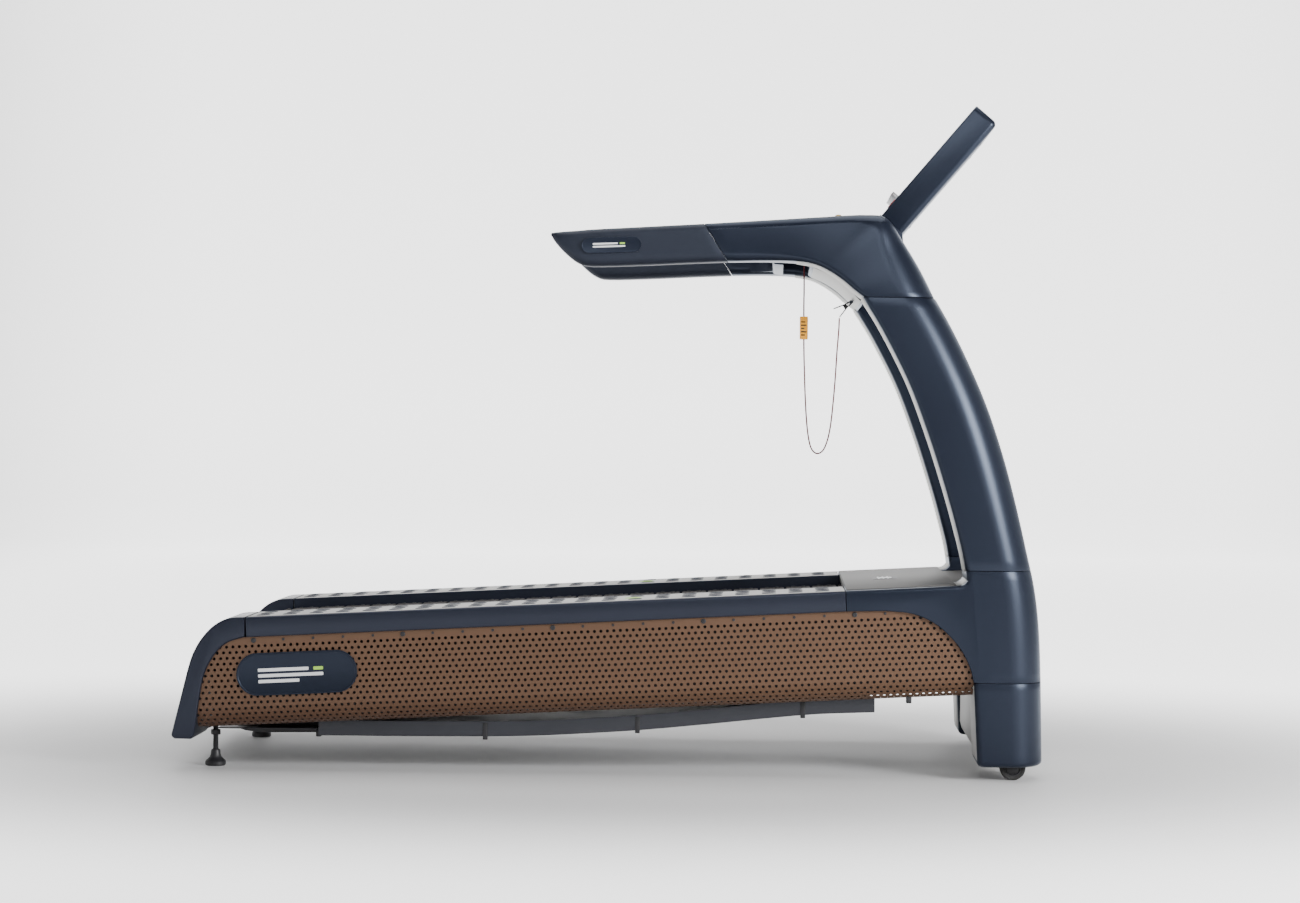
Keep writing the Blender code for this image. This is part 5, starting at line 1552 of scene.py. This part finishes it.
GLASS = finish_of("screen_glass", screen_glass, Coat_Weight=0.5, Coat_Roughness=0.04)
glass = block("screen", (0.0755, -0.2345, HALF - 0.0026), (CONSOLE_LENGTH - 0.0125, 0.2345, HALF - 0.0002),
              0.0075, 4,
              standing)
done(settle(round_off(glass, 0.0005, 2), SLAB), GLASS, "display_glass", "frame", "display_glass")
border = block("screen_border", (0.0790, -0.2310, HALF - 0.0003),
               (CONSOLE_LENGTH - 0.0160, 0.2310, HALF + 0.0001), 0.006, 4,
               standing)
cut(border, block("border_inside", (0.0860, -0.2240, HALF - 0.01),
                  (CONSOLE_LENGTH - 0.0230, 0.2240, HALF + 0.01), 0.003, 3,
                  standing))
done(settle(border, SLAB), BLACK, "black_plastic", "frame")

# %% [markdown]
# Under the screen a ledge holds a tablet. It is silver-white plastic with a black rubber strip, so that
# nothing slides. Beside it are a red stop key and a green start key, each with a dished face.

# %% Ledge and keys


def silver_white(tree):
    cloud = noise(tree, place_on(tree), 20.0, 3.0)
    return {"Base_Color": mix(tree, cloud, (0.56, 0.57, 0.58), (0.66, 0.67, 0.68)),
            "Roughness": cloud * 0.15 + 0.28,
            "Normal": bump(tree, noise(tree, place_on(tree), 500.0, 2.0), 0.00008, 0.3)}


SILVER = finish_of("silver_plastic", silver_white, Metallic=0.25)
ledge = block("ledge", (0.0635, -0.150, HALF + 0.0004), (0.0735, 0.150, HALF + 0.019))
cut(ledge, block("ledge_fin", (0.0435, -0.150, HALF + 0.0004), (0.0645, 0.150, HALF + 0.004)), "UNION")
with editing(ledge, "EDGE") as mesh:
    pick(mesh, "edges", lambda a, b: abs(a.y - b.y) < 1e-5 and abs(a.z - b.z) > 0.005
         and max(a.z, b.z) > HALF + 0.018)
    bpy.ops.mesh.bevel(offset=0.004, segments=3, affect="EDGES")
done(settle(round_off(ledge, 0.0009, 3), SLAB), SILVER, "silver_plastic", "frame", "tablet_ledge")
ledge_pad = block("ledge_pad", (0.0730, -0.142, HALF + 0.0030), (0.0744, 0.142, HALF + 0.0170), 0.0006, 2)
done(settle(ledge_pad, SLAB), RUBBER, "rubber", "frame")


def key_colour(first, second):
    def build(tree):
        cloud = noise(tree, place_on(tree), 90.0, 3.0)
        return {"Base_Color": mix(tree, cloud, first, second), "Roughness": cloud * 0.2 + 0.28,
                "Normal": bump(tree, noise(tree, place_on(tree), 900.0, 2.0), 0.00006, 0.4)}

    return build


STOP = finish_of("stop_red", key_colour((0.42, 0.012, 0.012), (0.56, 0.022, 0.020)))
START = finish_of("start_green", key_colour((0.03, 0.26, 0.05), (0.05, 0.36, 0.08)))
for name, y, finish, slot, body in (("stop_key_cap", -0.185, STOP, "stop_red", "stop_key"),
                                    ("start_key_cap", 0.185, START, "start_green", "start_key")):
    key = block(name, (0.031, y - 0.016, HALF - 0.003), (0.057, y + 0.016, HALF + 0.003), 0.0035, 3,
                standing)
    with editing(key, "FACE") as mesh:
        pick(mesh, "faces", lambda c, n: n.z > 0.9)
        bpy.ops.mesh.inset(thickness=0.0022, depth=0)
        bpy.ops.mesh.inset(thickness=0.0040, depth=-0.0006)
    done(settle(round_off(key, 0.0005, 2, 30), SLAB), finish, slot, body, name.replace("_key_cap", "_button"))

# %% [markdown]
# The lanyard's ends: a magnet key with a grip ridge up in the bay, a bright tag on the cord, and a spring
# clip on the dash's rib. The tag is moulded round the cord.

# %% Key and tag
key = block("magnet_key_body", (0.4740, -0.014, BAY_TOP - 0.0145), (0.4988, 0.014, BAY_TOP - 0.0035), 0.003, 3)
ridge = block("key_ridge", (0.4775, -0.0035, BAY_TOP - 0.0165), (0.4955, 0.0035, BAY_TOP - 0.0130), 0.0012, 2)
cut(key, ridge, "UNION")
done(settle(key), STOP, "stop_red", "lanyard_key", "magnet_key")


def tag_orange(tree):
    cloud = noise(tree, place_on(tree), 70.0, 3.0)
    return {"Base_Color": mix(tree, cloud, (0.88, 0.36, 0.012), (0.96, 0.44, 0.025)),
            "Roughness": cloud * 0.2 + 0.45,
            "Normal": bump(tree, noise(tree, place_on(tree), 400.0, 3.0), 0.0002, 0.4)}


ORANGE = finish_of("tag_orange", tag_orange)
tag = block("tag", (0.4765, -0.0040, 1.090), (0.4980, 0.0024, 1.150), 0.0028, 4,
            lambda a, b: abs(a.y - b.y) > 0.004)
with editing(tag, "FACE") as mesh:
    pick(mesh, "faces", lambda c, n: abs(n.y) > 0.9)
    bpy.ops.mesh.inset(thickness=0.0022, depth=0, use_individual=True)
    bpy.ops.mesh.inset(thickness=0.0006, depth=-0.0006, use_individual=True)
done(settle(round_off(tag, 0.0005, 2, 40)), ORANGE, "tag_orange", "frame", "cord_tag")
tag_bars = join("tag_bars", [block("tag_bar", (0.4800, -0.0040, 1.100 + i * 0.0085),
                                   (0.4800 + w, -0.0034, 1.1032 + i * 0.0085), 0.0005, 1)
                             for i, w in enumerate((0.010, 0.014, 0.008, 0.014, 0.011))])
done(settle(tag_bars), BLACK, "black_plastic", "frame")

# %% [markdown]
# Round things are turned, as on a lathe. Half of the section is drawn as a line of vertices beside the
# axis and spun once round it. Doubles on the axis are merged before the normals are set.

# %% Lathe helper


def lathe(name, outline, steps=32, matrix=None):
    """Spins (radius, height) points round Z."""
    obj = primitive(name, "plane", size=0.001)
    with editing(obj):
        bpy.ops.mesh.select_all(action="SELECT")
        bpy.ops.mesh.merge(type="CENTER")
        bpy.ops.transform.translate(value=(outline[0][0], 0, outline[0][1]))
        for (r0, z0), (r1, z1) in zip(outline, outline[1:]):
            bpy.ops.mesh.extrude_vertices_move(TRANSFORM_OT_translate={"value": (r1 - r0, 0.0, z1 - z0)})
        bpy.ops.mesh.select_all(action="SELECT")
        bpy.ops.mesh.spin(steps=steps, angle=2 * math.pi, center=(0, 0, 0), axis=(0, 0, 1))
    outward(obj)
    if matrix is not None:
        obj.data.transform(matrix)
    return obj


# %% [markdown]
# A levelling foot is a rubber pad on a swivel, with a threaded stem and a hexagonal lock nut. The thread
# is drawn as close rings, which looks the same at this size and stays closed.

# %% Levelling feet
FOOT_X = deck_point(-0.9985, -0.245)[0]
foot_outline = [(0, 0.0), (0.0235, 0.0), (0.026, 0.0025), (0.026, 0.0105), (0.0240, 0.0135), (0.0205, 0.0160),
                (0.0150, 0.0215),
                (0.0125, 0.0290), (0.0118, 0.0370), (0.0105, 0.0400), (0.0066, 0.0415)]
level = 0.0425
while level < 0.168:
    foot_outline += [(0.0070, level), (0.0070, level + 0.0006), (0.0060, level + 0.0012),
                     (0.0060, level + 0.0017)]
    level += 0.0023
foot_outline += [(0.0060, 0.1705), (0.0048, 0.1720), (0, 0.1720)]
foot = lathe("foot_left", foot_outline, 24)
nut = lathe("foot_nut", [(0, 0.0772), (0.0105, 0.0772), (0.0122, 0.0785), (0.0122, 0.0895), (0.0105, 0.0908),
                         (0, 0.0908)], 6)
foot = join("foot_left", [foot, nut])
foot.data.transform(Matrix.Translation((FOOT_X, 0.325, 0.0)))
settle(foot, angle=30)
done(mirrored(foot, "foot_right"), BLACK, "black_plastic", "foot_right", "levelling_foot_right")
done(foot, BLACK, "black_plastic", "foot_left", "levelling_foot_left")

# %% [markdown]
# A transport wheel has a rubber tyre with shallow rings, a hub with a ring of pits, and turns
# on the fork's pin.

# %% Transport wheels
WHEEL_X, WHEEL_R = 1.006, 0.032
lay = Matrix.Rotation(math.radians(90), 4, "X")
wheel_at = Matrix.Translation((WHEEL_X, 0.400, WHEEL_R)) @ lay
tyre = lathe("tyre_left", [(0.0215, -0.0098), (0.0240, -0.0110), (0.0285, -0.0118), (0.0312, -0.0104),
                           (0.0320, -0.0080),
                           (0.0320, -0.0036), (0.0314, -0.0030), (0.0320, -0.0024), (0.0320, 0.0024),
                           (0.0314, 0.0030),
                           (0.0320, 0.0036), (0.0320, 0.0080), (0.0312, 0.0104), (0.0285, 0.0118),
                           (0.0240, 0.0110),
                           (0.0215, 0.0098), (0.0215, -0.0098)], 40, wheel_at)
hub = lathe("hub_left", [(0.0056, -0.0118), (0.0100, -0.0118), (0.0110, -0.0070), (0.0185, -0.0060),
                         (0.0195, -0.0100),
                         (0.0216, -0.0100), (0.0216, 0.0100), (0.0195, 0.0100), (0.0185, 0.0060),
                         (0.0110, 0.0070),
                         (0.0100, 0.0118), (0.0056, 0.0118), (0.0056, -0.0118)], 40)
for i in range(5):
    turn = 2 * math.pi * i / 5
    for side in (-1, 1):
        cut(hub, primitive("pit", "cylinder", vertices=14, radius=0.0026, depth=0.006,
                           location=(0.0148 * math.cos(turn), 0.0148 * math.sin(turn), side * 0.0072)))
hub.data.transform(wheel_at)
for piece, finish, slot, nodes in ((tyre, RUBBER, "rubber", ("front_wheel",)),
                                   (hub, BLACK, "black_plastic", ())):
    settle(piece, angle=35)
    twin = mirrored(piece, piece.name.replace("left", "right"))
    done(twin, finish, slot, "wheel_right", *[n + "_right" for n in nodes])
    done(piece, finish, slot, "wheel_left", *[n + "_left" for n in nodes])

# %% [markdown]
# Under the deck hangs a bowed pan: three lengths of folded grey sheet with a tab at every joint, and a
# black cover that closes its rear end.

# %% Belly pan


def pan_paint(tree):
    where = place_on(tree)
    cloud = noise(tree, where, 5.0, 4.0)
    dust = noise(tree, place_on(tree, (1.0, 1.0, 6.0)), 7.0, 5.0).ramp(0.5, 0.8)
    colour = mix(tree, cloud, (0.030, 0.032, 0.040), (0.046, 0.048, 0.058))
    return {"Base_Color": mix(tree, dust * 0.3, colour, (0.085, 0.086, 0.090)), "Roughness": dust * 0.2 + 0.42,
            "Normal": bump(tree, noise(tree, where, 350.0, 2.0), 0.0001, 0.4)}


PAN = finish_of("pan_paint", pan_paint, Metallic=0.3)
bow = side_curve([(-0.718, 0.082), (-0.413, 0.084), (-0.190, 0.088), (0.061, 0.104), (0.235, 0.121),
                  (0.495, 0.149),
                  (0.668, 0.158)], 48)
pan = profile("pan", bow + [(x, z + 0.038) for x, z in reversed(bow)], -0.362, 0.362)


def on_fold(a, b):
    """Whether an edge runs along the bow, at the pan's underside."""
    middle_x, middle_z = (a.x + b.x) / 2, (a.z + b.z) / 2
    underside = min(z for x, z in bow if abs(x - middle_x) < 0.03) + 0.012
    return abs(a.y - b.y) < 1e-6 and abs(a.x - b.x) > 1e-4 and middle_z < underside


with editing(pan, "EDGE") as mesh:
    pick(mesh, "edges", on_fold)
    bpy.ops.mesh.bevel(offset=0.004, segments=3, affect="EDGES")
inner = profile("pan_inside", [(x, z + 0.003) for x, z in bow] + [(x, z + 0.060) for x, z in reversed(bow)],
                -0.359, 0.359)
cut(pan, inner)
tabs = []
for x in (-0.300, 0.080, 0.490):
    z = min(bow, key=lambda p: abs(p[0] - x))[1]
    for _, side in SIDES:
        low, high = sorted((side * 0.3565, side * 0.3640))
        tabs.append(block("tab", (x - 0.006, low, z - 0.0075), (x + 0.006, high, z + 0.0345), 0.0012, 2))
    tabs.append(block("seam_band", (x - 0.0055, -0.357, z - 0.0018), (x + 0.0055, 0.357, z + 0.001), 0.0006, 1))
done(settle(pan), PAN, "pan_grey", "frame", "belly_pan")
done(settle(join("pan_tabs", tabs)), BLACK, "black_plastic", "frame")
cover = profile("pan_end", [(-0.936, 0.091), (-0.915, 0.0845), (-0.881, 0.0802), (-0.860, 0.0800),
                            (-0.7195, 0.082),
                            (-0.7195, 0.120), (-0.881, 0.118), (-0.936, 0.115)], -0.290, 0.290)
cut(cover, block("cover_hollow", (-0.924, -0.284, 0.092), (-0.726, 0.284, 0.140)))
done(settle(round_off(cover, 0.002, 3, 30)), BLACK, "black_plastic", "frame", "rear_belly_cover")
lugs = [block("lug", (-0.735, side * 0.285 - 0.012, 0.072), (-0.722, side * 0.285 + 0.012, 0.090), 0.002, 2)
        for _, side in SIDES]
lugs += [block("cable_lug", (0.743, side * 0.404 - 0.006, 0.186), (0.757, side * 0.404 + 0.006, 0.206), 0.0025,
               2) for _, side in SIDES]
done(settle(join("small_lugs", lugs)), BLACK, "black_plastic", "frame")

# %% [markdown]
# Between the caps lies the rear guard, a sloping black moulding with ribs. A thin closing plate on each
# side fills the gap between it, the cap and the belt, so that the floor doesn't show through. In front,
# under the hood, a light housing closes the space between the boots. Slots in it let the generator's warm
# air out. A pale skin lies along the back of each boot.

# %% Rear guard and nose cover
guard = profile("rear_guard_body", [(-1.058, 0.092), (-1.054, 0.086), (-1.020, 0.084), (-0.985, 0.098),
                                    (-0.934, 0.098), (-0.934, 0.104), (-0.985, 0.104),
                                    (-1.022, 0.092), (-1.046, 0.100), (-1.0505, 0.147), (-1.053, 0.150),
                                    (-1.0568, 0.149), (-1.058, 0.146)],
                -0.261, 0.261)
ribs = [block("rib", (-1.050, -0.240 + i * 0.040 - 0.0012, 0.0875),
              (-0.996, -0.240 + i * 0.040 + 0.0012, 0.0985), 0.0005, 1)
        for i in range(13)]
for _, side in SIDES:
    low, high = sorted((side * 0.2580, side * 0.3720))
    ribs.append(block("closing_plate", (-0.968, low, 0.0980), (-0.722, high, 0.1010), 0.0008, 1))
done(settle(join("rear_guard_body", [round_off(guard, 0.0008, 2, 40), *ribs])), BLACK, "black_plastic", "frame",
     "rear_guard")
front_x, nose_top = nose_centre.x + 0.0695, nose_centre.y + 0.006
corner = [(1.030 + 0.030 * math.cos(math.radians(t)), 0.072 + 0.030 * math.sin(math.radians(t)))
          for t in range(-60, 1, 12)]
inside = [(1.030 + 0.027 * math.cos(math.radians(t)), 0.072 + 0.027 * math.sin(math.radians(t)))
          for t in range(0, -61, -12)]
nose = profile("nose_housing", [(0.919, 0.215), (0.919, 0.075), (0.923, 0.058), (0.935, 0.042), (1.020, 0.042),
                                *corner,
                                (front_x + 0.002, 0.180), (front_x, nose_top), (front_x - 0.003, nose_top),
                                (front_x - 0.001, 0.180),
                                *inside, (1.020, 0.045), (0.937, 0.045), (0.926, 0.059), (0.922, 0.076),
                                (0.922, 0.215)],
               -0.2650, 0.2650)
slots = []
for row in range(3):
    for i in range(11):
        y = -0.150 + i * 0.030
        slots.append(block("air_slot", (1.00, y - 0.009, 0.170 + row * 0.026),
                           (1.12, y + 0.009, 0.177 + row * 0.026), 0.003, 2,
                           lambda a, b: abs(a.x - b.x) > 0.01))
cut(nose, join("air_slots", slots))
done(settle(round_off(nose, 0.0006, 2, 50)), LIGHT, "pale_grip", "frame", "nose_cover")
boot_skins = []
for _, side in SIDES:
    low, high = sorted((side * 0.282, side * 0.444))
    rings = [[(post_rear(h) - 0.0012, low, h), (post_rear(h) - 0.0012, high, h),
              (post_rear(h) + 0.003, high, h),
              (post_rear(h) + 0.003, low, h)] for h in heights(0.236, 0.052, 8)]
    boot_skins.append(swept("boot_skin", rings, capped=True))
done(settle(round_off(join("boot_skins", boot_skins), 0.0008, 2, 50)), LIGHT, "silver_plastic", "frame")

# %% [markdown]
# A brass plug covers a bolt in the top of each elbow. It is turned as one low dome and mirrored.

# %% Elbow plugs


def brass(tree):
    cloud = noise(tree, place_on(tree), 120.0, 4.0)
    return {"Base_Color": mix(tree, cloud, (0.30, 0.20, 0.07), (0.46, 0.33, 0.13)),
            "Roughness": cloud * 0.25 + 0.25}


BRASS = finish_of("brass_plug", brass, Metallic=0.9)
plug = lathe("elbow_plug_left", [(0, 0.0), (0.0085, 0.0), (0.0085, 0.0025), (0.0072, 0.0045), (0.0040, 0.0060),
                                 (0, 0.0065)], 24,
             Matrix.Translation((0.567, 0.355, 1.3845)))
settle(plug)
pair(plug, "elbow_plug_right", BRASS, "steel")

# %% [markdown]
# The frame, the drums and the generator keep their CAD shapes. They only need real finishes: textured
# black powder coat on the welded frame, turned aluminium with fine rings on the drums, cast alloy on the
# generator and zinc on the axles.

# %% Finishes for the pieces inside


def powder_coat(tree):
    where = place_on(tree)
    grain = noise(tree, where, 450.0, 2.0)
    cloud = noise(tree, where, 6.0, 3.0)
    return {"Base_Color": mix(tree, cloud, (0.014, 0.014, 0.016), (0.026, 0.026, 0.028)),
            "Roughness": grain * 0.2 + 0.5,
            "Normal": bump(tree, grain, 0.0003, 0.6)}


def turned_metal(tree):
    where = place_on(tree, (1.0, 900.0, 1.0))
    rings = noise(tree, where, 1.0, 1.0)
    cloud = noise(tree, place_on(tree), 8.0, 3.0)
    return {"Base_Color": mix(tree, rings * 0.6 + cloud * 0.4, (0.38, 0.39, 0.40), (0.58, 0.59, 0.60)),
            "Roughness": rings * 0.15 + 0.25, "Normal": bump(tree, rings, 0.00006, 0.4)}


def cast_alloy(tree):
    where = place_on(tree)
    grain = noise(tree, where, 260.0, 3.0)
    cloud = noise(tree, where, 10.0, 3.0)
    return {"Base_Color": mix(tree, cloud, (0.15, 0.15, 0.16), (0.26, 0.26, 0.27)),
            "Roughness": grain * 0.2 + 0.40,
            "Normal": bump(tree, grain, 0.0003, 0.6)}


POWDER = finish_of("powder_coat", powder_coat, Metallic=0.1)
TURNED = finish_of("turned_aluminium", turned_metal, Metallic=1.0)
CAST = finish_of("cast_alloy", cast_alloy, Metallic=0.8)
kept = {
    POWDER: ["frame_beam_left", "frame_beam_right", "cross_tube_front", "cross_tube_rear", "wheel_fork_left",
             "wheel_fork_right",
             "upright_tube_left", "upright_tube_right"],
    TURNED: ["front_drum", "rear_drum", "drive_pulley"],
    CAST: ["generator"],
    STEEL: ["front_axle", "rear_axle", "generator_rotor"],
    RUBBER: ["drive_belt"],
    BLACK: ["clip_body", "clip_lever"],
}
for finish, names in kept.items():
    for name in names:
        cad = bpy.data.objects[name]
        for slot in cad.material_slots:
            slot.material = finish
print("CAD nodes kept", sum(len(names) for names in kept.values()))
